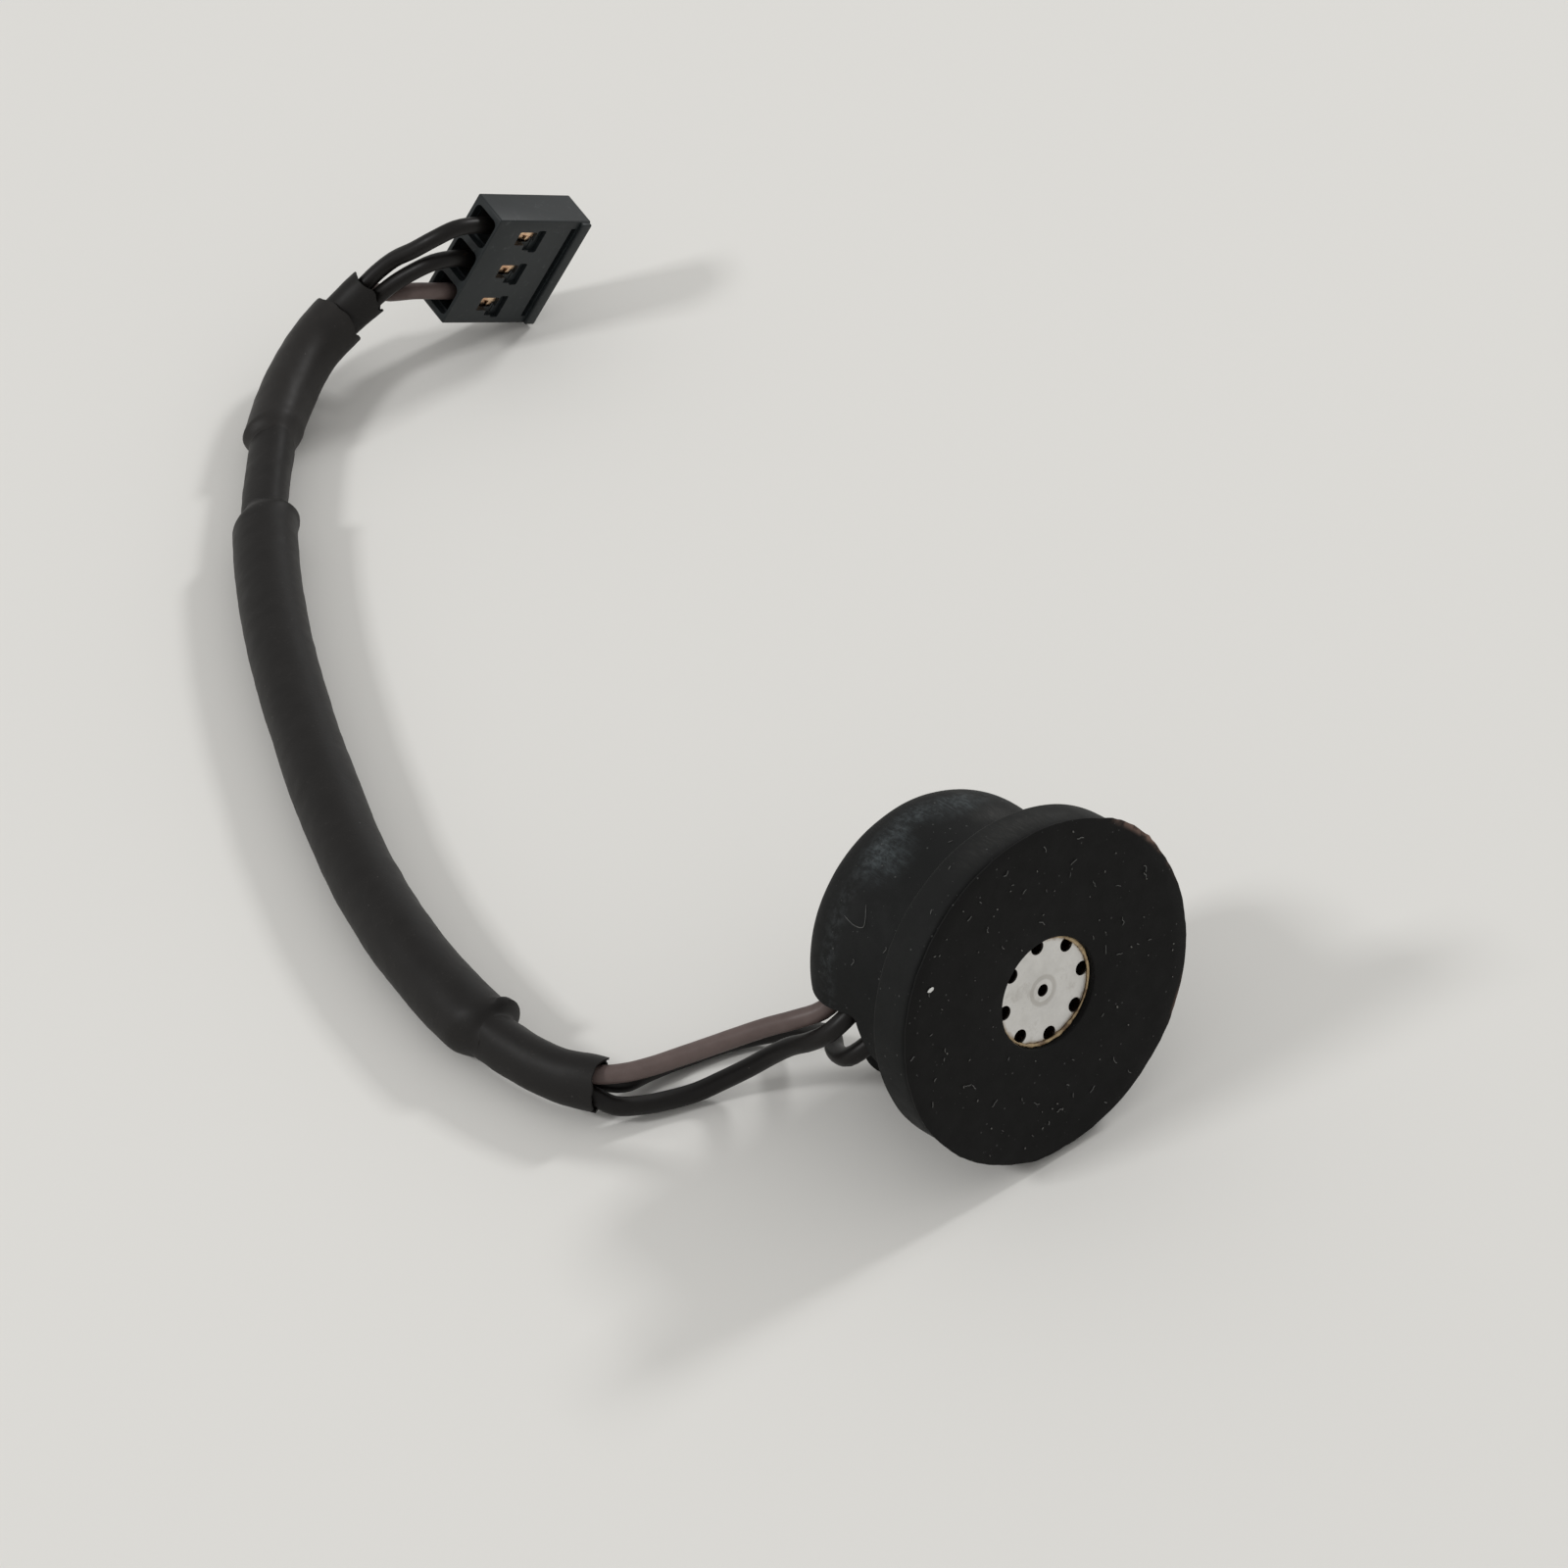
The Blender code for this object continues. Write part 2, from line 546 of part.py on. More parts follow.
def wire_points(number, inside, outside, fan, angle, contact):
    """One wire's middle line: solder joint, notch, ground, sleeve and plug."""
    joint = notch_point(-SOLDER_SETBACK, (number - 2) * SOLDER_PITCH, SOLDER_REAR + WIRE_START)
    leg = [boot_to_world(joint)]
    leg += [boot_to_world(notch_point(*(size * MM for size in point))) for point in inside]
    leg += [Vector(point) * MM for point in outside]
    line, sides = lead_line()
    sleeved = []
    for step, (point, (left, up)) in enumerate(zip(line, sides)):
        turn = angle + BUNDLE_TWIST * step / SLEEVE_STEPS
        sleeved.append(point + (left * math.cos(turn) + up * math.sin(turn)) * BUNDLE_RADIUS)
    near = smooth_curve(leg + sleeved[:2], LEG_STEPS)[:-LEG_STEPS]
    crimp = TERMINAL_REAR - BARREL_LENGTH - WIRE_START
    ends = [plug_point(along, contact * PLUG_PITCH, CAVITY_LEVEL)
            for along in (-PLUG_LENGTH / 2 - WIRE_STRAIGHT, -PLUG_LENGTH / 2, crimp)]
    fanned = [Vector(point) * MM for point in fan]
    far = smooth_curve(sleeved[-2:] + fanned + ends, LEG_STEPS)[LEG_STEPS:]
    return near[:1] + spaced(near[LEG_STEPS:]) + sleeved[1:-1] + spaced(far)


def spaced(points):
    """The same line, with points close enough for its bends."""
    length = sum((end - start).length for start, end in zip(points, points[1:]))
    return even_points(points, round(length / (WIRE_RADIUS * 3)))


def make_wires(mauve, black):
    """The three insulated wires."""
    wires = (("mauve_wire", MAUVE_INSIDE, MAUVE_OUTSIDE, MAUVE_FAN, 90.0, -1, mauve),
             ("black_wire", BLACK_INSIDE, BLACK_OUTSIDE, BLACK_FAN, 330.0, 0, black),
             ("screen_wire", SCREEN_INSIDE, SCREEN_OUTSIDE, SCREEN_FAN, 210.0, 1, black))
    for number, (name, inside, outside, fan, place, contact, finish) in enumerate(wires, start=1):
        points = wire_points(number, inside, outside, fan, math.radians(place), contact)
        add_curve(name, tube_curve(name, points, WIRE_RADIUS, WIRE_SIDES), finish)


def make_sleeves(tubing):
    """The inner sleeve over the whole bundle, and the two shrunk over it."""
    line, _ = lead_line()
    make_sleeve("inner_sleeve", line, INNER_SLEEVE_RADIUS, INNER_SLEEVE_WALL, tubing)
    for name, span, radius, wall in (
            ("main_sleeve", MAIN_SLEEVE_SPAN, MAIN_SLEEVE_RADIUS, MAIN_SLEEVE_WALL),
            ("upper_sleeve", UPPER_SLEEVE_SPAN, UPPER_SLEEVE_RADIUS, UPPER_SLEEVE_WALL)):
        make_sleeve(name, line[span[0]:span[1] + 1], radius, wall, tubing)


# Plug

def row_of_boxes(name, size, centre):
    """Three equal boxes, one for each contact, to cut out of the housing."""
    shape = bmesh.new()
    for contact in (-1, 0, 1):
        place = Matrix.Translation((centre[0], contact * PLUG_PITCH, centre[1]))
        bmesh.ops.create_cube(shape, size=1.0, matrix=place @ Matrix.Diagonal((*size, 1.0)))
    return finish_mesh(shape, name)


def make_plug(frame, plastic, brass):
    """The housing with its cavities and windows, and the three crimped terminals."""
    width = PLUG_PITCH * 2 + PLUG_END * 2
    body_height = PLUG_HEIGHT - PLUG_LIP
    shape = bmesh.new()
    bmesh.ops.create_cube(shape, size=1.0, matrix=Matrix.Diagonal((PLUG_LENGTH, width, body_height, 1.0)))
    bmesh.ops.translate(shape, verts=shape.verts, vec=(0.0, 0.0, body_height / 2))
    mating = PLUG_LENGTH / 2 - PLUG_LIP_LENGTH
    bmesh.ops.bisect_plane(shape, geom=shape.verts[:] + shape.edges[:] + shape.faces[:],
                           plane_co=(mating, 0.0, 0.0), plane_no=(1.0, 0.0, 0.0))
    strip = [face for face in shape.faces
             if face.normal.z > 0.9 and face.calc_center_median().x > mating]
    raised = bmesh.ops.extrude_face_region(shape, geom=strip)
    bmesh.ops.delete(shape, geom=strip, context="FACES")
    moved = [item for item in raised["geom"] if isinstance(item, bmesh.types.BMVert)]
    bmesh.ops.translate(shape, verts=moved, vec=(0.0, 0.0, PLUG_LIP))
    housing = add_object("plug_housing", finish_mesh(shape, "plug_housing"), plastic, frame)
    through = PLUG_LENGTH * 1.2
    window_height = PLUG_HEIGHT
    recess_at = WINDOW_PLACE + WINDOW_SIZE[0] / 2 + RECESS_SIZE[0] / 2 + RECESS_GAP
    above = CAVITY_LEVEL + window_height / 2
    cutters = (("cavity_cutter", (through, CAVITY_SIDE, CAVITY_SIDE), (0.0, CAVITY_LEVEL)),
               ("window_cutter", (*WINDOW_SIZE, window_height), (WINDOW_PLACE, above)),
               ("recess_cutter", (*RECESS_SIZE, RECESS_DEPTH * 2), (recess_at, body_height)))
    for name, size, centre in cutters:
        cut(housing, add_object(name, row_of_boxes(name, size, centre), parent=frame))
    for contact in (-1, 0, 1):
        make_terminal(frame, brass, contact)


def make_terminal(frame, brass, contact):
    """A square contact box, open at the mating end, with its crimped barrel behind."""
    name = f"terminal_{contact + 2}"
    shape = bmesh.new()
    size = Matrix.Diagonal((TERMINAL_BOX, TERMINAL_SIDE, TERMINAL_SIDE, 1.0))
    bmesh.ops.create_cube(shape, size=1.0, matrix=size)
    mouth = [face for face in shape.faces if face.normal.x > 0.9]
    back = [face for face in shape.faces if face.normal.x < -0.9]
    bmesh.ops.inset_region(shape, faces=mouth, thickness=TERMINAL_WALL)
    push_face(shape, mouth, -(TERMINAL_BOX - TERMINAL_WALL))
    bmesh.ops.inset_region(shape, faces=back, thickness=(TERMINAL_SIDE - BARREL_SIDE) / 2)
    push_face(shape, back, -BARREL_LENGTH)
    place = (TERMINAL_REAR + TERMINAL_BOX / 2, contact * PLUG_PITCH, CAVITY_LEVEL)
    add_object(name, finish_mesh(shape, name), brass, frame, place)


def push_face(shape, faces, distance):
    """Extrude a face along X and leave no wall behind."""
    grown = bmesh.ops.extrude_face_region(shape, geom=faces)
    bmesh.ops.delete(shape, geom=faces, context="FACES")
    moved = [item for item in grown["geom"] if isinstance(item, bmesh.types.BMVert)]
    bmesh.ops.translate(shape, verts=moved, vec=(distance, 0.0, 0.0))


def main():
    """Build every piece in its place."""
    clear_scene()
    rubber = material("rubber", (0.018, 0.018, 0.02), 0.75)
    tubing = material("shrink_tubing", (0.03, 0.028, 0.028), 0.55)
    aluminium = material("aluminium", (0.8, 0.8, 0.8), 0.4, 1.0)
    brass = material("brass", (0.75, 0.55, 0.28), 0.35, 1.0)
    copper = material("copper", (0.8, 0.45, 0.3), 0.35, 1.0)
    solder = material("solder", (0.7, 0.7, 0.72), 0.3, 1.0)
    film = material("metallised_film", (0.7, 0.7, 0.72), 0.25, 1.0)
    glue = material("dried_glue", (0.5, 0.36, 0.2), 0.5)
    clear_plastic = material("spacer_plastic", (0.75, 0.74, 0.68), 0.4)
    holder_plastic = material("holder_plastic", (0.85, 0.84, 0.8), 0.5)
    chip_plastic = material("chip_plastic", (0.03, 0.03, 0.03), 0.5)
    laminate = material("laminate", (0.15, 0.3, 0.12), 0.5)
    ceramic = material("ceramic", (0.55, 0.42, 0.28), 0.5)
    mauve = material("mauve_insulation", (0.16, 0.12, 0.12), 0.45)
    black = material("black_insulation", (0.015, 0.015, 0.015), 0.3)
    housing_plastic = material("plug_plastic", (0.03, 0.035, 0.04), 0.45)

    boot_frame = add_empty("boot_frame", FACE_PLACE, (math.pi / 2 - TILT, 0.0, 0.0))
    make_boot(boot_frame, rubber)
    make_can(boot_frame, aluminium)
    make_glue_ring(boot_frame, glue)
    make_diaphragm(boot_frame, brass, film, clear_plastic)
    make_back_plate(boot_frame, brass)
    make_holder(boot_frame, holder_plastic, brass)
    make_board(boot_frame, laminate, chip_plastic, ceramic)
    make_solder(boot_frame, copper, solder)

    make_wires(mauve, black)
    make_sleeves(tubing)
    plug_frame = add_empty("plug_frame", PLUG_PLACE, PLUG_TURN)
    make_plug(plug_frame, housing_plastic, brass)


main()
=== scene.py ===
"""A microphone capsule in its rubber boot, with the sleeved lead and the small crimp plug."""

import json
import math
import random

import bmesh
import bpy
from mathutils import Euler, Matrix, Vector, noise


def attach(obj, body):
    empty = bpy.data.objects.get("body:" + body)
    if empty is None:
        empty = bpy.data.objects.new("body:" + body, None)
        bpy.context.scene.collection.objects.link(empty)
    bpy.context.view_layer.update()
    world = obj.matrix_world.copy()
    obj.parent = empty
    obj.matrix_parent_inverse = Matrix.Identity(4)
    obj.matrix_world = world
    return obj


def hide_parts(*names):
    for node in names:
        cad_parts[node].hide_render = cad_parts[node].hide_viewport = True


MM = 0.001
BODY = "boot_and_lead"
SHARP = math.radians(40.0)

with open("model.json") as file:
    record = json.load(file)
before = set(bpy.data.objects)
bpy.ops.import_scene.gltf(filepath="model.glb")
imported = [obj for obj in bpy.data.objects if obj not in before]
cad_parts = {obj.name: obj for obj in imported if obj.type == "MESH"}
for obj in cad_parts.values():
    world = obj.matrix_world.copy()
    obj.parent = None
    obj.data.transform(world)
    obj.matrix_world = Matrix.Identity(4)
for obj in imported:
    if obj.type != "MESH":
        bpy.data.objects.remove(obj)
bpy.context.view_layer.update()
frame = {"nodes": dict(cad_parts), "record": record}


# Camera, first because the cords are checked against its view

def add_camera():
    """A long lens, looking down at the boot's face from its left."""
    turn = math.radians(-39.5)
    drop = math.radians(41.3)
    lens = bpy.data.cameras.new("camera")
    lens.sensor_width = 36.0
    lens.lens = 117.0
    lens.clip_start = 0.005
    lens.clip_end = 10.0
    camera = bpy.data.objects.new("camera", lens)
    bpy.context.scene.collection.objects.link(camera)
    camera.location = Vector((-99.58, -108.34, 144.80)) * MM
    camera.rotation_euler = (math.pi / 2 - drop, 0.0, turn)
    bpy.context.scene.camera = camera


add_camera()


# The boot's own frame: +Z out of its face, depths going down

def mount(name):
    """The record's entry for one mount."""
    return next(entry for entry in frame["record"]["mounts"] if entry["name"] == name)


FACE = mount("boot_face")
FACE_MIDDLE = Vector((0.0, FACE["pos_m"][1], FACE["pos_m"][2]))
BOOT_LEAN = math.pi / 2 - math.asin(FACE["axis"][2])
BOOT_PLACE = Matrix.Translation(FACE_MIDDLE) @ Matrix.Rotation(BOOT_LEAN, 4, "X")

# Sizes of the boot and the can, in millimetres

RIM_RADIUS = 7.25
BAND_RADIUS = 7.12
BAND_EDGE = 0.25
BAND_REAR = 2.25
WAIST_RADIUS = 5.45
WAIST_ROUND = 0.9
LOBE_RADIUS = 6.0
LOBE_DEPTH = 6.6
LOBE_ROUND = 1.0
BOOT_LENGTH = 8.3
FACE_OPENING = 2.37
LIP = 0.33
POCKET_REAR = 5.06
REAR_OPENING = 3.6
NOTCH_WIDTH = 4.6
NOTCH_LENGTH = 13.12
NOTCH_START = 1.8
NOTCH_DEPTH = 5.1
NOTCH_ROUND = 0.35
NOTCH_ANGLE = math.radians(205.0)

CAN_RADIUS = 4.85
CAN_LENGTH = 4.68
CAN_GAP = 0.03
CAN_SLACK = 0.01
CAN_FRONT_DEPTH = 0.35
CAN_FRONT_WALL = 0.48
CAN_BORE = 4.6
CAN_CURL_RADIUS = 4.05
CAN_CURL_WALL = 0.25
CAN_FRONT_ROUND = 0.16
PORT_CIRCLE = 2.02
PORT_RADIUS = 0.32
PORT_COUNT = 8
MIDDLE_PORT_RADIUS = 0.27
GLUE_CIRCLE = 2.29
GLUE_DEPTH = 0.3
GLUE_ROUND = 0.085


# Materials

class Number:
    """One value that varies over a surface, so that sums on it add their own nodes."""

    def __init__(self, finish, socket):
        self.finish = finish
        self.socket = socket

    def work(self, operation, first, second):
        return self.finish.node("Math", {"operation": operation}, {0: first, 1: second})

    def __add__(self, other):
        return self.work("ADD", self, other)

    def __radd__(self, other):
        return self.work("ADD", other, self)

    def __sub__(self, other):
        return self.work("SUBTRACT", self, other)

    def __rsub__(self, other):
        return self.work("SUBTRACT", other, self)

    def __mul__(self, other):
        return self.work("MULTIPLY", self, other)

    def __rmul__(self, other):
        return self.work("MULTIPLY", other, self)


class Finish:
    """A material whose pattern sits on Object coordinates, in millimetres."""

    def __init__(self, name, place=(0.0, 0.0, 0.0), turn=(0.0, 0.0, 0.0), metallic=0.0, coat=0.0,
                 shine=0.5):
        self.material = bpy.data.materials.new(name)
        self.material.use_nodes = True
        self.tree = self.material.node_tree
        self.shader = self.tree.nodes["Principled BSDF"]
        self.shader.inputs["Metallic"].default_value = metallic
        self.shader.inputs["Coat Weight"].default_value = coat
        self.shader.inputs["Coat Roughness"].default_value = 0.25
        self.shader.inputs["Specular IOR Level"].default_value = shine
        spot = self.node("TexCoord", output="Object")
        self.spot = self.node("Mapping", {"vector_type": "TEXTURE"},
                              {"Vector": spot, "Location": place, "Rotation": turn, "Scale": (MM, MM, MM)})

    def node(self, kind, settings=None, sockets=None, output=0):
        """Add a node, with its settings first and then its sockets' values or links."""
        made = self.tree.nodes.new("ShaderNode" + kind)
        for key, value in (settings or {}).items():
            setattr(made, key, value)
        for key, value in (sockets or {}).items():
            self.join(made.inputs[key], value)
        return Number(self, made.outputs[output])

    def join(self, socket, value):
        """Link a socket, or set it to a plain value."""
        if isinstance(value, Number):
            self.tree.links.new(value.socket, socket)
        else:
            socket.default_value = value

    def stretched(self, scale):
        """The pattern's coordinates, with each axis scaled."""
        return self.node("VectorMath", {"operation": "MULTIPLY"}, {0: self.spot, 1: scale})

    def off_axis(self):
        """How far a place is from the pattern's Z axis, in millimetres."""
        flat = self.stretched((1.0, 1.0, 0.0))
        return self.node("VectorMath", {"operation": "LENGTH"}, {0: flat}, output="Value")

    def cloud(self, scale, detail, rough, on=None):
        """Soft noise, about 0.5, with its coarsest lumps 1 / scale millimetres across."""
        return self.node("TexNoise", {"noise_dimensions": "3D"},
                         {"Vector": on or self.spot, "Scale": scale, "Detail": detail, "Roughness": rough})

    def step(self, value, low, high):
        """0 below low and 1 above high, with a smooth rise between."""
        return self.node("MapRange", {"interpolation_type": "SMOOTHSTEP"},
                         {"Value": value, "From Min": low, "From Max": high})

    def away(self, centre, reach):
        """1 at a spot, falling smoothly to 0 at its reach, each axis with its own."""
        offset = self.node("VectorMath", {"operation": "SUBTRACT"}, {0: self.spot, 1: centre})
        offset = self.node("VectorMath", {"operation": "DIVIDE"}, {0: offset, 1: reach})
        far = self.node("VectorMath", {"operation": "LENGTH"}, {0: offset}, output="Value")
        return 1.0 - self.step(far, 0.0, 1.0)

    def part(self, axis, of=None):
        """One coordinate of the pattern, in millimetres."""
        return self.node("SeparateXYZ", None, {0: of or self.spot}, output=axis)

    def specks(self, scale, size, share):
        """Small round dots in a share of the cells."""
        cells = {"Vector": self.spot, "Scale": scale}
        near = self.node("TexVoronoi", {"feature": "F1"}, cells, output="Distance")
        colour = self.node("TexVoronoi", {"feature": "F1"}, cells, output="Color")
        pick = self.part("X", of=colour)
        chosen = self.step(pick, 1.0 - share, 1.0 - share * 0.4)
        return (1.0 - self.step(near, size * 0.5, size)) * chosen

    def blend(self, amount, low, high):
        """A colour between two, by an amount from 0 to 1."""
        made = self.tree.nodes.new("ShaderNodeMix")
        made.data_type = "RGBA"
        self.join(made.inputs[0], amount)
        for socket, value in ((made.inputs[6], low), (made.inputs[7], high)):
            self.join(socket, value if isinstance(value, Number) else (*value, 1.0))
        return Number(self, made.outputs[2])

    def finish(self, colour, roughness, height, strength, distance):
        """Join the colour, the roughness and the height, whose full rise is a distance in millimetres."""
        bump = self.node("Bump", None, {"Strength": strength, "Distance": distance * MM, "Height": height})
        self.join(self.shader.inputs["Base Color"], colour)
        self.join(self.shader.inputs["Roughness"], roughness)
        self.join(self.shader.inputs["Normal"], bump)
        return self.material


def boot_finish(name, **more):
    """A finish whose pattern follows the boot: X right, Y up and Z out of its face."""
    return Finish(name, place=tuple(FACE_MIDDLE), turn=(BOOT_LEAN, 0.0, 0.0), **more)


def rubber_finish():
    """Matt black rubber, chalky where it has been handled, with fine dust all over, and a painted sheen and
    highlights on its upper side.
    """
    skin = boot_finish("boot_rubber", shine=0.16)
    depth = -1.0 * skin.part("Z")
    mottle = skin.cloud(1.1, 5.0, 0.6)
    grain = skin.cloud(16.0, 4.0, 0.65)
    colour = skin.blend(mottle, (0.003, 0.003, 0.003), (0.0068, 0.0067, 0.0064))
    side = skin.step(depth, 0.15, 0.6)
    colour = skin.blend(side * 0.5, colour, (0.0105, 0.0116, 0.0114))
    # Lighter bluish patches on the lobe's upper side: partly chalky dust, partly a painted sheen where the
    # light falls.
    chalk_and_sheen = (skin.away((-2.6, 5.4, -5.9), (1.9, 1.7, 1.5)) * 1.1
             + skin.away((-0.8, 5.9, -6.5), (2.1, 1.2, 0.9)) * 0.8
             + skin.away((1.4, 5.9, -6.0), (2.4, 1.2, 1.1)) * 1.15)
    broken = skin.step(skin.cloud(2.6, 6.0, 0.72), 0.42, 0.68)
    streak = skin.step(skin.cloud(1.0, 5.0, 0.7, on=skin.stretched((9.0, 5.0, 1.6))), 0.45, 0.7)
    colour = skin.blend(chalk_and_sheen * (broken * 0.3 + streak * 0.36 + 0.1), colour, (0.08, 0.096, 0.102))
    # Painted highlights: a grey sheen along the band's top and a lighter patch on the slope by the waist.
    painted_highlight = (skin.away((2.6, 5.4, -4.9), (2.2, 1.1, 0.9)) * 0.5
            + skin.away((0.6, 7.0, -1.2), (5.2, 1.3, 1.2)) * 0.28)
    colour = skin.blend(painted_highlight * (streak * 0.6 + 0.4), colour, (0.085, 0.084, 0.08))
    ring = skin.step(depth, 5.7, 6.4) * (1.0 - skin.step(depth, 6.4, 7.2))
    colour = skin.blend(ring * broken * 0.18, colour, (0.1, 0.11, 0.115))
    rim = 1.0 - skin.step(depth, 0.02, 0.14)
    rim = rim * skin.step(skin.off_axis(), RIM_RADIUS - 0.2, RIM_RADIUS + 0.05)
    warm = skin.away((6.0, 4.4, 0.0), (3.4, 3.6, 1.0)) + skin.away((6.2, -3.6, 0.0), (1.2, 1.6, 1.0)) * 0.8
    colour = skin.blend(rim * warm * skin.step(mottle, 0.35, 0.6), colour, (0.2, 0.13, 0.105))
    dust = skin.specks(3.1, 0.16, 0.22) + skin.specks(6.5, 0.17, 0.12)
    colour = skin.blend(dust * 0.4, colour, (0.12, 0.122, 0.12))
    height = grain * 0.5 + mottle * 0.9 + dust * 0.6
    return skin.finish(colour, skin.step(mottle, 0.2, 0.8) * 0.16 + 0.6, height, 0.35, 0.03)


def can_finish():
    """Satin pressed aluminium, with faint scratches and brown dirt in its corners."""
    metal = boot_finish("can_metal", metallic=1.0)
    wear = metal.cloud(1.6, 5.0, 0.6)
    fine = metal.cloud(1.0, 4.0, 0.6, on=metal.stretched((22.0, 3.0, 3.0)))
    radius = metal.off_axis()
    colour = metal.blend(wear, (0.56, 0.55, 0.53), (0.82, 0.815, 0.8))
    smudge = metal.step(metal.cloud(0.85, 6.0, 0.68), 0.5, 0.66)
    colour = metal.blend(smudge * 0.45, colour, (0.45, 0.43, 0.4))
    ring = metal.step(radius, 0.44, 0.52) * (1.0 - metal.step(radius, 0.62, 0.74))
    colour = metal.blend(ring * 0.5, colour, (0.4, 0.38, 0.35))
    edge = metal.step(radius + wear * 0.5, 2.32, 2.56)
    colour = metal.blend(edge * 0.8, colour, (0.26, 0.18, 0.1))
    inside = metal.step(-1.0 * metal.part("Z"), CAN_FRONT_DEPTH + 0.04, CAN_FRONT_DEPTH + 0.12)
    colour = metal.blend(inside, colour, (0.1, 0.055, 0.035))
    return metal.finish(colour, wear * 0.2 + 0.3, fine * 0.6 + wear, 0.16, 0.012)


def glue_finish():
    """Old brown adhesive."""
    glue = boot_finish("dried_glue", coat=0.2)
    lumps = glue.cloud(2.2, 5.0, 0.6)
    colour = glue.blend(glue.step(lumps, 0.35, 0.62), (0.16, 0.095, 0.045), (0.5, 0.37, 0.2))
    return glue.finish(colour, lumps * 0.3 + 0.35, lumps, 0.5, 0.05)


def tubing_finish(name, light):
    """Heat-shrunk tubing: satin, warm black, with rub marks."""
    tube = Finish(name, shine=0.22)
    cloudy = tube.cloud(0.9, 6.0, 0.62)
    fine = tube.cloud(7.0, 5.0, 0.68)
    colour = tube.blend(cloudy, (0.0135 * light, 0.0122 * light, 0.0112 * light),
                        (0.026 * light, 0.0238 * light, 0.0222 * light))
    rub = tube.step(fine, 0.56, 0.72) * tube.step(cloudy, 0.45, 0.6)
    colour = tube.blend(rub * 0.3, colour, (0.05, 0.045, 0.042))
    dust = tube.specks(3.4, 0.12, 0.1)
    colour = tube.blend(dust * 0.4, colour, (0.16, 0.155, 0.15))
    return tube.finish(colour, cloudy * 0.2 + 0.42, cloudy * 1.2 + fine * 0.5, 0.35, 0.03)


def wire_finish(name, low, high, gloss):
    """Plastic insulation with a little dust on it."""
    cover = Finish(name, shine=0.24)
    cloudy = cover.cloud(1.4, 5.0, 0.6)
    fine = cover.cloud(9.0, 4.0, 0.6)
    colour = cover.blend(cloudy, low, high)
    dust = cover.specks(4.0, 0.14, 0.14)
    colour = cover.blend(dust * 0.35, colour, (0.14, 0.13, 0.12))
    return cover.finish(colour, fine * 0.14 + gloss, fine * 0.4 + cloudy, 0.2, 0.02)


def plug_finish():
    """Moulded connector plastic, charcoal with a cold tint, mottled and with lighter scuffs."""
    shell = Finish("plug_plastic", shine=0.3)
    cloudy = shell.cloud(0.8, 5.0, 0.6)
    fine = shell.cloud(14.0, 3.0, 0.6)
    colour = shell.blend(cloudy, (0.009, 0.0115, 0.0125), (0.02, 0.025, 0.0265))
    scuff = shell.step(shell.cloud(2.4, 6.0, 0.72), 0.56, 0.72)
    colour = shell.blend(scuff * 0.3, colour, (0.09, 0.095, 0.1))
    return shell.finish(colour, cloudy * 0.15 + 0.38, fine * 0.5 + cloudy, 0.22, 0.02)


def metal_finish(name, low, high, gloss, scale=2.0):
    """A bright metal with soft tarnish."""
    metal = Finish(name, metallic=1.0)
    tarnish = metal.cloud(scale, 5.0, 0.62)
    colour = metal.blend(metal.step(tarnish, 0.35, 0.65), low, high)
    return metal.finish(colour, tarnish * 0.2 + gloss, tarnish, 0.2, 0.02)


def plain_finish(name, low, high, gloss, scale=3.0):
    """A plastic or fired surface with a light mottle."""
    body = Finish(name)
    cloudy = body.cloud(scale, 4.0, 0.6)
    return body.finish(body.blend(cloudy, low, high), cloudy * 0.15 + gloss, cloudy, 0.15, 0.02)


def board_finish():
    """Green solder mask with a bare copper ring round its edge and a little flux."""
    board = boot_finish("laminate")
    cloudy = board.cloud(1.2, 5.0, 0.6)
    radius = board.off_axis()
    colour = board.blend(cloudy, (0.018, 0.065, 0.022), (0.035, 0.115, 0.04))
    flux = board.step(board.cloud(0.9, 5.0, 0.7), 0.5, 0.62)
    colour = board.blend(flux * 0.5, colour, (0.16, 0.1, 0.03))
    ring = board.step(radius, 3.05, 3.1) * (1.0 - board.step(radius, 3.42, 3.47))
    colour = board.blend(ring, colour, (0.62, 0.5, 0.3))
    return board.finish(colour, cloudy * 0.2 + 0.3, cloudy + ring * 0.5, 0.25, 0.02)


RUBBER = rubber_finish()
CAN = can_finish()
GLUE = glue_finish()
MAIN_TUBING = tubing_finish("main_tubing", 0.52)
INNER_TUBING = tubing_finish("inner_tubing", 0.5)
UPPER_TUBING = tubing_finish("upper_tubing", 0.85)
MAUVE = wire_finish("mauve_insulation", (0.085, 0.062, 0.057), (0.145, 0.108, 0.1), 0.36)
BLACK = wire_finish("black_insulation", (0.0038, 0.0033, 0.003), (0.0085, 0.0072, 0.0065), 0.36)
PLUG = plug_finish()
BRASS = metal_finish("turned_brass", (0.55, 0.38, 0.17), (0.8, 0.62, 0.34), 0.25)
TERMINAL = metal_finish("terminal_metal", (0.62, 0.36, 0.22), (0.86, 0.64, 0.42), 0.22, 3.0)
TIN = metal_finish("tinned_copper", (0.6, 0.56, 0.48), (0.8, 0.78, 0.72), 0.25)
SOLDER = metal_finish("solder", (0.5, 0.5, 0.5), (0.78, 0.78, 0.79), 0.2, 2.5)
FILM = metal_finish("metallised_film", (0.55, 0.55, 0.56), (0.72, 0.72, 0.74), 0.15)
SPACER = plain_finish("spacer_plastic", (0.62, 0.6, 0.52), (0.75, 0.74, 0.68), 0.3)
HOLDER = plain_finish("holder_plastic", (0.72, 0.7, 0.64), (0.85, 0.84, 0.8), 0.4)
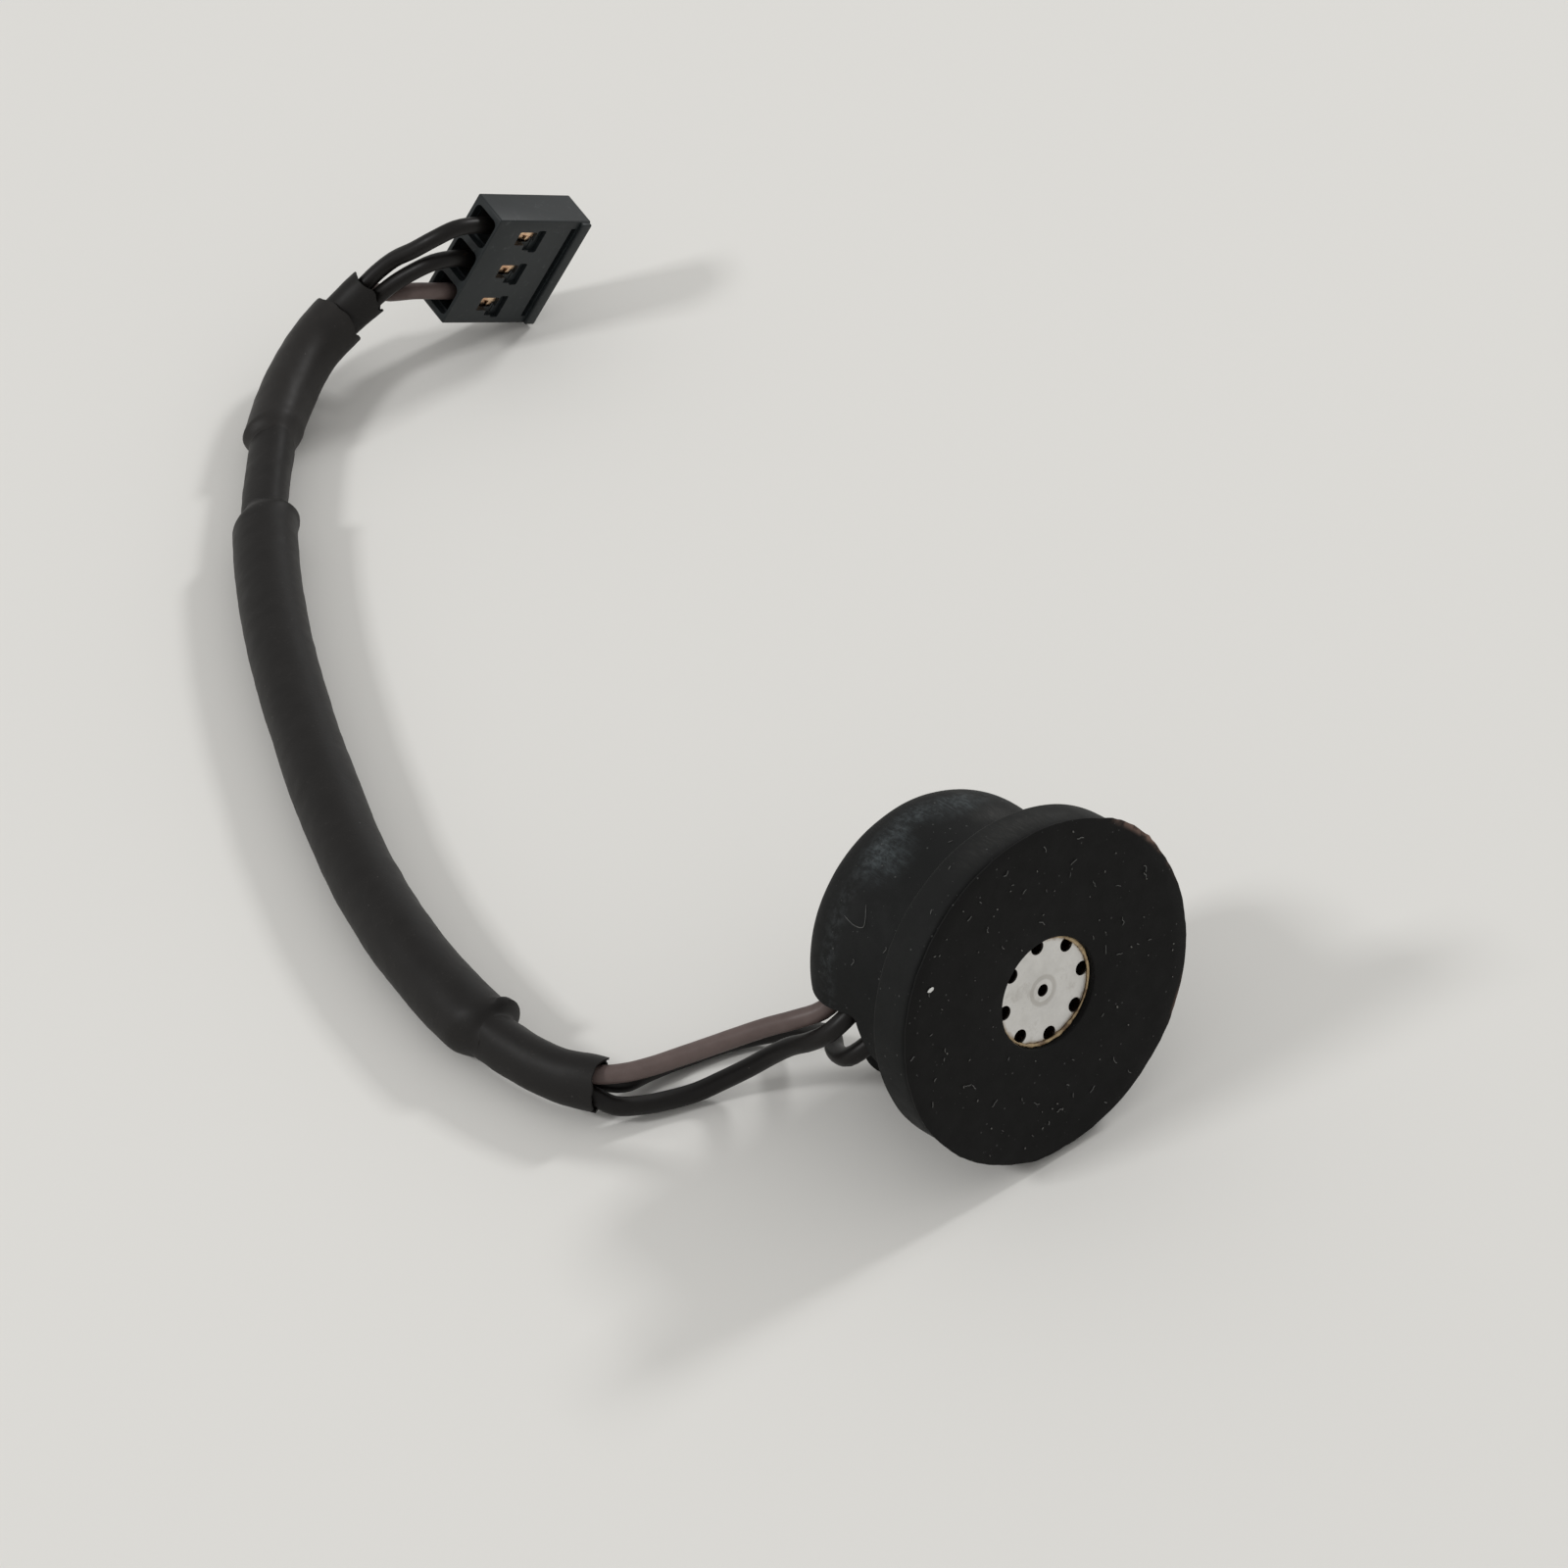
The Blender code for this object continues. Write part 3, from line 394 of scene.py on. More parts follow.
CHIP = plain_finish("chip_plastic", (0.014, 0.014, 0.014), (0.032, 0.032, 0.032), 0.4)
CERAMIC = plain_finish("chip_ceramic", (0.4, 0.29, 0.18), (0.58, 0.45, 0.3), 0.35)
LAMINATE = board_finish()
LINT = plain_finish("lint", (0.035, 0.035, 0.034), (0.15, 0.15, 0.145), 0.7)
CRUMB = plain_finish("crumb", (0.04, 0.04, 0.038), (0.2, 0.195, 0.18), 0.6)
WHITE_SPECK = plain_finish("white_speck", (0.6, 0.6, 0.58), (0.78, 0.78, 0.76), 0.6)


# Making pieces

DOUBLES = 0.0004               # millimetres between points that count as one


def new_piece(name, shape, finish, place=None, stands_for=(), sharp=SHARP):
    """Turn a bmesh into a finished piece that rides on the body."""
    bmesh.ops.remove_doubles(shape, verts=shape.verts, dist=DOUBLES)
    bmesh.ops.recalc_face_normals(shape, faces=shape.faces)
    mesh = bpy.data.meshes.new(name)
    shape.to_mesh(mesh)
    shape.free()
    mesh.transform(Matrix.Diagonal((MM, MM, MM, 1.0)))
    if place is not None:
        mesh.transform(place)
    mesh.shade_smooth()
    mesh.set_sharp_from_angle(angle=sharp)
    made = bpy.data.objects.new(name, mesh)
    bpy.context.scene.collection.objects.link(made)
    dress(made, finish, stands_for)
    return made


def dress(piece, finish, stands_for=()):
    """Give a piece its finish, its body and the nodes that it stands for."""
    piece.data.materials.clear()
    piece.data.materials.append(finish)
    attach(piece, BODY)
    if stands_for:
        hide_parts(*stands_for)


def add_shape(shape, extra, place):
    """Put a second bmesh's shape into the first."""
    mesh = bpy.data.meshes.new("extra")
    extra.to_mesh(mesh)
    extra.free()
    mesh.transform(place)
    shape.from_mesh(mesh)
    bpy.data.meshes.remove(mesh)


def turned(profile, steps):
    """Spin a profile of (radius, depth) points, in millimetres, with depth going down."""
    shape = bmesh.new()
    points = [shape.verts.new((radius, 0.0, -depth)) for radius, depth in profile]
    edges = [shape.edges.new(pair) for pair in zip(points, points[1:])]
    if profile[0][0] > 0.0:
        edges.append(shape.edges.new((points[-1], points[0])))
    bmesh.ops.spin(shape, geom=points + edges, axis=(0, 0, 1), cent=(0, 0, 0), steps=steps,
                   angle=math.tau, use_merge=True)
    bmesh.ops.remove_doubles(shape, verts=shape.verts, dist=DOUBLES)
    return shape


def arc(radius_at, depth_at, radius, start, end, steps):
    """Points on a round, with its angles in degrees: 0 outwards and 90 towards the rear."""
    turns = [math.radians(start + (end - start) * step / steps) for step in range(steps + 1)]
    return [(radius_at + radius * math.cos(turn), depth_at + radius * math.sin(turn)) for turn in turns]


def work_on(piece, tools, operation):
    """Cut solids out of a piece, or merge them into it, and keep the result as its mesh."""
    for tool in tools:
        change = piece.modifiers.new("work", "BOOLEAN")
        change.operation = operation
        change.solver = "EXACT"
        change.object = tool
    view = bpy.context.evaluated_depsgraph_get()
    mesh = bpy.data.meshes.new_from_object(piece.evaluated_get(view))
    piece.modifiers.clear()
    old = piece.data
    piece.data = mesh
    bpy.data.meshes.remove(old)
    for tool in tools:
        bpy.data.objects.remove(tool)


def block(size, centre, round_off=0.0, along=None, segments=3):
    """A box in millimetres, with all its edges or those along one axis rounded."""
    shape = bmesh.new()
    place = Matrix.Translation(centre) @ Matrix.Diagonal((*size, 1.0))
    bmesh.ops.create_cube(shape, size=1.0, matrix=place)
    if round_off:
        edges = [edge for edge in shape.edges
                 if along is None or abs((edge.verts[0].co - edge.verts[1].co)[along]) > size[along] * 0.9]
        bmesh.ops.bevel(shape, geom=edges, offset=round_off, segments=segments, profile=0.5, affect="EDGES",
                        material=-1)
    return shape


def carve(piece, tools):
    """Cut solids out of a piece, and mark its new sharp edges."""
    work_on(piece, tools, "DIFFERENCE")
    piece.data.set_sharp_from_angle(angle=SHARP)


def cutter(shape, place):
    """A throwaway solid to cut or merge with."""
    mesh = bpy.data.meshes.new("cutter")
    shape.to_mesh(mesh)
    shape.free()
    mesh.transform(place @ Matrix.Diagonal((MM, MM, MM, 1.0)))
    made = bpy.data.objects.new("cutter", mesh)
    bpy.context.scene.collection.objects.link(made)
    return made


def smooth_curve(route, steps):
    """Points on a smooth curve through all of a route's points."""
    ends = [route[0] * 2 - route[1], *route, route[-1] * 2 - route[-2]]
    points = []
    for before, start, end, after in zip(ends, ends[1:], ends[2:], ends[3:]):
        for step in range(steps):
            share = step / steps
            bend = (before * 2 - start * 5 + end * 4 - after) * share ** 2
            twist = (start * 3 - before - end * 3 + after) * share ** 3
            points.append((start * 2 + (end - before) * share + bend + twist) / 2)
    points.append(route[-1])
    return points


def swept(points, radii, sides, ends=None):
    """A tube along a line of points, in millimetres, with a radius at each."""
    shape = bmesh.new()
    bmesh.ops.create_circle(shape, cap_ends=False, segments=sides, radius=1.0)
    edges = shape.edges[:]
    last = Matrix.Identity(4)
    side = Vector((0.0, 0.0, 1.0))
    for step, (point, radius) in enumerate(zip(points, radii)):
        ahead = points[min(step + 1, len(points) - 1)] - points[max(step - 1, 0)]
        ahead.normalize()
        side = (side - ahead * side.dot(ahead)).normalized()
        across = ahead.cross(side)
        here = Matrix((side, across, ahead)).transposed().to_4x4()
        here = Matrix.Translation(point) @ here @ Matrix.Diagonal((radius, radius, radius, 1.0))
        if step:
            grown = bmesh.ops.extrude_edge_only(shape, edges=edges)["geom"]
            verts = [item for item in grown if isinstance(item, bmesh.types.BMVert)]
            edges = [item for item in grown if isinstance(item, bmesh.types.BMEdge)
                     and item.verts[0] in verts and item.verts[1] in verts]
        else:
            verts = shape.verts[:]
        bmesh.ops.transform(shape, matrix=here @ last.inverted(), verts=verts)
        last = here
    if ends:
        bmesh.ops.holes_fill(shape, edges=[edge for edge in shape.edges if edge.is_boundary], sides=0)
    return shape


def lump(point, scale, seed=0.0):
    """Smooth noise from -1 to 1 at a point."""
    return noise.noise(Vector(point) * scale + Vector((seed, seed * 1.7, -seed)))


# The lead's middle line over the ground and up to the plug, in millimetres, with the solid model's points

LEAD_ROUTE = [
    (-13.25, 8.45), (-13.95, 9.65), (-14.5, 11.6), (-14.75, 14.1), (-14.6, 17.0),
    (-14.05, 20.6), (-12.95, 24.8), (-11.45, 28.9), (-10.05, 32.3), (-8.35, 36.1),
    (-6.5, 39.8), (-4.4, 43.45), (-2.05, 46.95), (0.6, 50.2),
]
LEAD_RISE = [
    (2.2, 52.0, 1.62), (4.4, 53.75, 1.93), (6.33, 54.8, 2.4), (7.96, 55.03, 3.1), (9.34, 54.72, 4.0),
]
LEAD_HEIGHT = 1.5236
LEAD_STEPS = 330
CURVE_STEPS = 12
BUNDLE = 0.4734                # from the lead's middle to each wire's
BUNDLE_STEP = 10
TWIST = math.radians(-120.0)   # of the wires, over the lead's length
WIRE_RADIUS = 0.4
WIRE_STEPS = 4
WIRE_ROUNDNESS = 5


def even_points(points, count):
    """The same line, with its points spread evenly along its length."""
    lengths = [0.0]
    for start, end in zip(points, points[1:]):
        lengths.append(lengths[-1] + (end - start).length)
    spread = []
    place = 0
    for step in range(count + 1):
        target = lengths[-1] * step / count
        while place < len(points) - 2 and lengths[place + 1] < target:
            place += 1
        share = (target - lengths[place]) / (lengths[place + 1] - lengths[place])
        spread.append(points[place].lerp(points[place + 1], share))
    return spread


def lead_line():
    """The lead's middle line, and at each point the directions to its left and up."""
    route = [Vector((x, y, LEAD_HEIGHT)) for x, y in LEAD_ROUTE] + [Vector(point) for point in LEAD_RISE]
    line = even_points(smooth_curve(route, CURVE_STEPS), LEAD_STEPS)
    sides = []
    for step in range(len(line)):
        ahead = (line[min(step + 1, LEAD_STEPS)] - line[max(step - 1, 0)]).normalized()
        left = Vector((-ahead.y, ahead.x, 0.0)).normalized()
        sides.append((left, ahead.cross(left)))
    return line, sides


LEAD, LEAD_SIDES = lead_line()


def bundled(angle):
    """A wire's places inside the sleeve, as the wires twist together."""
    places = []
    for step in range(0, LEAD_STEPS + 1, BUNDLE_STEP):
        turn = angle + TWIST * step / LEAD_STEPS
        left, up = LEAD_SIDES[step]
        places.append(LEAD[step] + (left * math.cos(turn) + up * math.sin(turn)) * BUNDLE)
    return places


# Each wire's angle in the bundle, its points up to the sleeve, and its points from the sleeve to its crimp

WIRES = {
    "mauve_wire": (90.0, [
        (0.55, 1.94, 8.26), (0.55, 2.42, 8.15), (-0.31, 3.05, 7.62), (-1.42, 3.11, 7.11),
        (-2.52, 3.03, 6.6), (-3.63, 2.95, 6.09), (-4.73, 2.92, 5.56), (-5.79, 3.03, 4.98),
        (-6.6, 3.75, 4.43), (-7.51, 4.46, 4.03), (-8.45, 5.11, 3.6), (-9.42, 5.72, 3.19),
        (-10.42, 6.32, 2.81), (-11.42, 6.92, 2.44), (-12.39, 7.6, 2.15),
    ], [
        (10.46, 54.31, 3.81), (11.17, 53.34, 4.15), (12.11, 52.85, 3.99), (13.23, 52.91, 3.43),
    ]),
    "black_wire": (330.0, [
        (1.27, 1.6, 6.76), (1.27, 2.03, 6.66), (0.31, 2.49, 6.3), (-0.85, 2.39, 6.19),
        (-2.02, 2.27, 6.16), (-3.18, 2.13, 6.06), (-4.32, 1.99, 5.82), (-5.39, 1.88, 5.35),
        (-6.15, 2.2, 4.58), (-6.52, 2.95, 3.75), (-6.79, 3.82, 3.01), (-7.2, 4.56, 2.2),
        (-7.82, 5.19, 1.43), (-8.68, 5.74, 0.86), (-9.73, 6.14, 0.54), (-10.85, 6.5, 0.53),
        (-11.96, 6.85, 0.67), (-12.99, 7.35, 0.9),
    ], [
        (10.1, 53.77, 4.66), (10.88, 53.15, 5.4), (11.8, 52.54, 5.94), (12.96, 52.4, 5.73),
        (14.08, 52.44, 5.18),
    ]),
    "screen_wire": (210.0, [
        (1.99, 1.26, 5.26), (1.99, 1.68, 5.16), (0.97, 2.02, 4.8), (-0.19, 1.87, 4.63),
        (-1.36, 1.7, 4.53), (-2.52, 1.51, 4.43), (-3.67, 1.33, 4.27), (-4.78, 1.27, 3.89),
        (-5.46, 1.79, 3.14), (-5.29, 2.79, 2.58), (-4.7, 3.77, 2.36), (-4.62, 4.78, 1.76),
        (-4.72, 5.77, 1.13), (-5.27, 6.68, 0.67), (-6.22, 7.34, 0.47), (-7.33, 7.75, 0.44),
        (-8.49, 7.98, 0.45), (-9.66, 8.16, 0.52), (-10.82, 8.16, 0.7), (-11.96, 8.05, 0.99),
    ], [
        (9.88, 54.43, 5.2), (10.54, 53.88, 5.97), (11.09, 53.1, 6.65), (11.78, 52.44, 7.31),
        (12.8, 52.03, 7.69), (13.88, 51.92, 7.46), (14.92, 51.97, 6.93),
    ]),
}


def add_wire(name, finish):
    """One insulated wire, from its solder joint to its crimp."""
    angle, near, far = WIRES[name]
    route = [Vector(point) for point in near]
    route += bundled(math.radians(angle))
    route += [Vector(point) for point in far]
    points = smooth_curve(route, WIRE_STEPS)
    curve = bpy.data.curves.new(name + "_cover", "CURVE")
    curve.dimensions = "3D"
    curve.bevel_depth = WIRE_RADIUS * MM
    curve.bevel_resolution = WIRE_ROUNDNESS
    curve.use_fill_caps = True
    spline = curve.splines.new("POLY")
    spline.points.add(len(points) - 1)
    for knot, point in zip(spline.points, points):
        knot.co = (*(point * MM), 1.0)
    wire = bpy.data.objects.new(name + "_cover", curve)
    bpy.context.scene.collection.objects.link(wire)
    dress(wire, finish, (name,))
    length = sum((end - start).length for start, end in zip(points, points[1:])) * MM
    return wire, Vector(near[0]) * MM, length


LEAD_PACE = (LEAD[1] - LEAD[0]).length
LEAD_LENGTH = LEAD_STEPS * LEAD_PACE
TUBE_SIDES = 44
TUBE_PACE = 0.17               # millimetres between rings, away from the rims
RIM_STATIONS = [0.0, 0.015, 0.04, 0.08, 0.13, 0.19, 0.26, 0.34, 0.44, 0.56]
SHOULDER = 1.5                 # how long the skin takes to draw in at a rim
ONE_SIDED = 0.68               # how much shorter that is on the beaded side
FLARE_REACH = 1.1
BEAD_PLACE = 0.45
BEAD_REACH = 0.26
TEAR_REACH = 0.25


def stations(length):
    """Distances along a sleeve, close together at its two rims."""
    rim = RIM_STATIONS
    count = round((length - 2 * rim[-1]) / TUBE_PACE)
    middle = [rim[-1] + (length - 2 * rim[-1]) * step / count for step in range(1, count)]
    return rim + middle + [length - place for place in reversed(rim)]


def lead_place(distance):
    """The lead's middle point at a distance along it, with its left and up directions."""
    step = min(max(distance / LEAD_PACE, 0.0), LEAD_STEPS - 0.0001)
    whole = int(step)
    left, up = LEAD_SIDES[whole]
    return LEAD[whole].lerp(LEAD[whole + 1], step - whole), left, up


def rim_shape(radius, distance, angle, rim):
    """How far out a sleeve's skin is near a rim, which may be drawn in, flared, or beaded on one side."""
    drawn_in, flare, bead, facing = rim
    one_side = 0.5 + 0.5 * math.cos(angle - math.radians(facing))
    radius += flare * math.exp(-(distance / FLARE_REACH) ** 2) * one_side
    radius += bead * math.exp(-((distance - BEAD_PLACE) / BEAD_REACH) ** 2) * one_side
    if drawn_in and distance < SHOULDER:
        outward = min(1.0, distance / (SHOULDER * (1.0 - ONE_SIDED * one_side)))
        radius = drawn_in + (radius - drawn_in) * outward * outward * (3.0 - 2.0 * outward)
    return radius


def add_sleeve(name, span, radius, wall, finish, rims, lobes, ragged, seed):
    """A length of shrunk tubing along the lead, which shows the wires that it has shrunk on.

    Each rim is (radius it draws in to, flare, bead, facing in degrees). The lobes stand over the wires.
    """
    first, last = (place * LEAD_LENGTH for place in span)
    places = stations(last - first)
    spots = [lead_place(first + place) for place in places]
    middles = [point for point, _, _ in spots]
    radii = [radius + 0.035 * lump(point, 0.33, seed) + 0.012 * lump(point, 1.1, seed) for point in middles]
    shape = swept(middles, radii, TUBE_SIDES)
    shape.verts.ensure_lookup_table()
    for number, vert in enumerate(shape.verts):
        along = places[number // TUBE_SIDES]
        left_over = places[-1] - along
        point, left, up = spots[number // TUBE_SIDES]
        ahead = left.cross(up)
        out = vert.co - point
        far = out.length
        out.normalize()
        angle = math.atan2(out.dot(up), out.dot(left))
        twist = math.pi / 2 + TWIST * (first + along) / LEAD_LENGTH
        far = rim_shape(far, along, angle, rims[0])
        far = rim_shape(far, left_over, angle, rims[1])
        far += lobes * math.cos(3.0 * (angle - twist))
        far += 0.018 * lump(vert.co, 1.3, seed) + 0.009 * lump(vert.co, 3.9, seed + 4.0)
        vert.co = point + out * far
        torn = ragged * (0.6 + 1.3 * lump(out, 1.1, seed) + 0.3 * lump(out, 3.5, seed))
        vert.co -= ahead * torn * math.exp(-along / TEAR_REACH)
        vert.co += ahead * torn * math.exp(-left_over / TEAR_REACH)
    sleeve = new_piece(name + "_tube", shape, finish, stands_for=(name,))
    thicken = sleeve.modifiers.new("wall", "SOLIDIFY")
    thicken.thickness = wall * MM
    thicken.offset = -1.0
    return sleeve


MAUVE_WIRE, MAUVE_EXIT, MAUVE_LENGTH = add_wire("mauve_wire", MAUVE)
BLACK_WIRE, BLACK_EXIT, BLACK_LENGTH = add_wire("black_wire", BLACK)
SCREEN_WIRE, SCREEN_EXIT, SCREEN_LENGTH = add_wire("screen_wire", BLACK)

INNER = add_sleeve("inner_sleeve", (0.0, 1.0), 1.06, 0.1, INNER_TUBING,
                   ((0.0, 0.16, 0.0, 60.0), (0.0, 0.1, 0.0, 90.0)), 0.05, 0.38, 3.1)
MAIN = add_sleeve("main_sleeve", (2.75 / 33, 24 / 33), 1.475, 0.05, MAIN_TUBING,
                  ((1.04, 0.0, 0.24, 165.0), (1.04, 0.05, 0.08, 180.0)), 0.015, 0.04, 8.6)
UPPER = add_sleeve("upper_sleeve", (27 / 33, 32 / 33), 1.33, 0.08, UPPER_TUBING,
                   ((1.04, 0.03, 0.06, 0.0), (0.0, 0.1, 0.0, -60.0)), 0.03, 0.3, 14.2)


# Floor and light

FLOOR_REACH = 1.2
FLOOR_DROP = 0.00002
LAMP_SIZE = 0.1
LAMP_POWER = 1.5
ROOM_LIGHT = 0.56


def add_floor():
    """A plain pale sheet."""
    shape = bmesh.new()
    bmesh.ops.create_grid(shape, x_segments=1, y_segments=1, size=FLOOR_REACH,
                          matrix=Matrix.Translation((0.0, 0.0, -FLOOR_DROP)))
    mesh = bpy.data.meshes.new("floor")
    shape.to_mesh(mesh)
    shape.free()
    floor = bpy.data.objects.new("floor", mesh)
    bpy.context.scene.collection.objects.link(floor)
    paper = bpy.data.materials.new("paper")
    paper.use_nodes = True
    shader = paper.node_tree.nodes["Principled BSDF"]
    shader.inputs["Base Color"].default_value = (0.76, 0.752, 0.725, 1.0)
    shader.inputs["Roughness"].default_value = 0.8
    shader.inputs["Specular IOR Level"].default_value = 0.2
    mesh.materials.append(paper)


def add_light(name, place):
    """A soft square lamp that looks at the boot."""
    lamp = bpy.data.lights.new(name, "AREA")
    lamp.shape = "SQUARE"
    lamp.size = LAMP_SIZE
    lamp.energy = LAMP_POWER
    made = bpy.data.objects.new(name, lamp)
    made.location = place
    made.rotation_euler = Vector(place).to_track_quat("Z", "Y").to_euler()
    bpy.context.scene.collection.objects.link(made)


def add_room():
    """Even light from all round."""
    world = bpy.data.worlds.new("room")
    world.use_nodes = True
    background = world.node_tree.nodes["Background"]
    background.inputs["Color"].default_value = (1.0, 0.99, 0.975, 1.0)
    background.inputs["Strength"].default_value = ROOM_LIGHT
    bpy.context.scene.world = world
    bpy.context.scene.view_settings.view_transform = "Standard"


add_floor()
add_light("left_lamp", (-0.52, 0.17, 0.43))
add_light("right_lamp", (0.57, 0.07, 0.43))
add_room()


# The boot

BOOT_SIDES = 180
CAN_SIDES = 128
GLUE_SIDES = 120
WAIST_START = BAND_REAR + 0.02 + WAIST_ROUND
WAIST_SWELL = (LOBE_RADIUS - WAIST_RADIUS) / 2
TORN_SPOTS = [(Vector((0.72, 0.69, 0.0)), 0.96, 4.2), (Vector((0.78, -0.62, 0.0)), 0.985, 6.0),
              (Vector((-0.2, -0.98, 0.0)), 0.985, 5.0)]


def waist_radius(depth):
    """The boot's radius between the foot of the band and the widest part of the lobe."""
    share = max(depth - WAIST_START, 0.0) / (LOBE_DEPTH - WAIST_START)
    return WAIST_RADIUS + WAIST_SWELL * (1.0 - math.cos(math.pi * share))


def make_boot():
    """The rubber spool, with its ragged moulding lip, rounded edges and wire notch."""
    face = [(FACE_OPENING + 0.1, 0.0), (4.6, 0.012), (6.6, 0.0), (RIM_RADIUS - 0.05, 0.0),
            (RIM_RADIUS, 0.03), (RIM_RADIUS, 0.1), (RIM_RADIUS - 0.09, 0.15), (RIM_RADIUS - 0.37, 0.18),
            (RIM_RADIUS - 0.39, 0.26)]
    band = [(BAND_RADIUS - 0.08, 0.36), (BAND_RADIUS - 0.01, 0.5), (BAND_RADIUS, 1.0), (BAND_RADIUS, 1.6)]
    band += arc(BAND_RADIUS - BAND_EDGE, BAND_REAR - BAND_EDGE, BAND_EDGE, 0, 90, 6)
    fillet = arc(WAIST_RADIUS + WAIST_ROUND, WAIST_START, WAIST_ROUND, 270, 180, 10)
    rise = [(waist_radius(depth), depth) for depth in
            (WAIST_START + (LOBE_DEPTH - WAIST_START) * share / 12 for share in range(1, 13))]
    lobe = [(LOBE_RADIUS - LOBE_ROUND + LOBE_ROUND * math.cos(turn),
             LOBE_DEPTH + (BOOT_LENGTH - LOBE_DEPTH) * math.sin(turn))
            for turn in (math.pi / 2 * step / 12 for step in range(1, 13))]
    rear = [(REAR_OPENING + 0.12, BOOT_LENGTH), (REAR_OPENING, BOOT_LENGTH - 0.12),
            (REAR_OPENING, POCKET_REAR)]
    inside = [(CAN_RADIUS + CAN_GAP, POCKET_REAR), (CAN_RADIUS + CAN_GAP, LIP), (FACE_OPENING + 0.03, LIP),
              (FACE_OPENING, LIP - 0.03), (FACE_OPENING, 0.08), (FACE_OPENING + 0.03, 0.02)]
    shape = turned(face + band + fillet + rise + lobe + rear + inside, BOOT_SIDES)
    for vert in shape.verts:
        radius = math.hypot(vert.co.x, vert.co.y)
        depth = -vert.co.z
        way = Vector((vert.co.x, vert.co.y, 0.0)) / max(radius, 0.1)
        if radius > RIM_RADIUS - 0.15 and depth < 0.15:
            ragged = 0.025 * lump(way, 2.5) + 0.02 * lump(way, 9.0, 2.0) + 0.02 * lump(way, 30.0, 5.0)
            torn = sum(max(0.0, way.dot(spot) - limit) * much for spot, limit, much in TORN_SPOTS)
            vert.co += way * (ragged + torn * (0.7 + 0.8 * lump(way, 22.0, 9.0)))
            vert.co.z += 0.03 * lump(way, 9.0, 7.0) - 0.012
        elif radius > 5.0 and depth > 0.3:
            vert.co += way * 0.02 * lump(vert.co, 0.6, 1.0)
        elif depth < 0.1 and radius > 2.6:
            vert.co.z += 0.02 * lump(vert.co, 0.55, 3.0) - 0.02
    boot = new_piece("boot_shell", shape, RUBBER, BOOT_PLACE, ("rubber_boot",))
    middle = (NOTCH_START + NOTCH_LENGTH / 2, 0.0, -NOTCH_DEPTH - BOOT_LENGTH / 2)
    notch = block((NOTCH_LENGTH, NOTCH_WIDTH, BOOT_LENGTH), middle, NOTCH_ROUND, 0, 4)
    carve(boot, [cutter(notch, BOOT_PLACE @ Matrix.Rotation(NOTCH_ANGLE, 4, "Z"))])


def make_can():
    """The capsule's cup: pierced front with a pressed ring, and its rear edge rolled in."""
    outer = CAN_RADIUS - CAN_SLACK
    front = [(0.0, 0.025), (0.34, 0.025), (0.4, 0.004), (0.47, 0.0), (0.55, 0.03), (0.62, 0.03), (0.7, 0.0),
             (outer - CAN_FRONT_ROUND, 0.0)]
    side = arc(outer - CAN_FRONT_ROUND, CAN_FRONT_ROUND, CAN_FRONT_ROUND, -90, 0, 5)
    side += arc(outer - CAN_CURL_WALL, CAN_LENGTH - CAN_CURL_WALL, CAN_CURL_WALL, 0, 90, 5)
    rear = [(CAN_CURL_RADIUS + 0.05, CAN_LENGTH), (CAN_CURL_RADIUS, CAN_LENGTH - 0.05),
            (CAN_CURL_RADIUS, CAN_LENGTH - CAN_CURL_WALL), (CAN_BORE, CAN_LENGTH - CAN_CURL_WALL),
            (CAN_BORE, CAN_FRONT_WALL), (0.0, CAN_FRONT_WALL)]
    shape = turned(front + side[1:] + rear, CAN_SIDES)
    place = BOOT_PLACE @ Matrix.Translation((0.0, 0.0, -CAN_FRONT_DEPTH * MM))
    can = new_piece("capsule_cup", shape, CAN, place, ("capsule_can",), math.radians(28.0))
    ports = bmesh.new()
    punches = [(Vector((0.0, 0.0, 0.0)), MIDDLE_PORT_RADIUS)]
    for port in range(PORT_COUNT):
        turn = math.tau * port / PORT_COUNT
        punches.append((Vector((math.cos(turn), math.sin(turn), 0.0)) * PORT_CIRCLE, PORT_RADIUS))
    for spot, radius in punches:
        bmesh.ops.create_cone(ports, cap_ends=True, segments=28, radius1=radius - 0.02,
                              radius2=radius + 0.01, depth=1.4, matrix=Matrix.Translation(spot))
    carve(can, [cutter(ports, place)])


def make_glue():
    """Broken remains of adhesive in the corner round the pierced front."""
    shape = turned(arc(GLUE_CIRCLE, GLUE_DEPTH, GLUE_ROUND, 0, 324, 9), GLUE_SIDES)
    for vert in shape.verts:
        way = Vector((vert.co.x, vert.co.y, 0.0)).normalized()
        centre = way * GLUE_CIRCLE + Vector((0.0, 0.0, -GLUE_DEPTH))
        strength = 0.35 + 0.8 * max(0.0, way.dot(Vector((0.75, 0.66, 0.0)))) ** 2
        strength += 0.75 * max(0.0, way.dot(Vector((-0.2, -0.98, 0.0)))) ** 2
        strength *= 0.85 + 0.45 * lump(way, 6.0, 2.0) + 0.25 * lump(way, 17.0, 5.0)
        vert.co = centre + (vert.co - centre) * max(strength, 0.2)
    new_piece("glue_bead", shape, GLUE, BOOT_PLACE, ("glue_ring",))


LINT_COUNT = 96
LINT_INNER = 2.7
LINT_OUTER = 6.95

# Fibres on the boot's side, each point as (angle in degrees, depth)

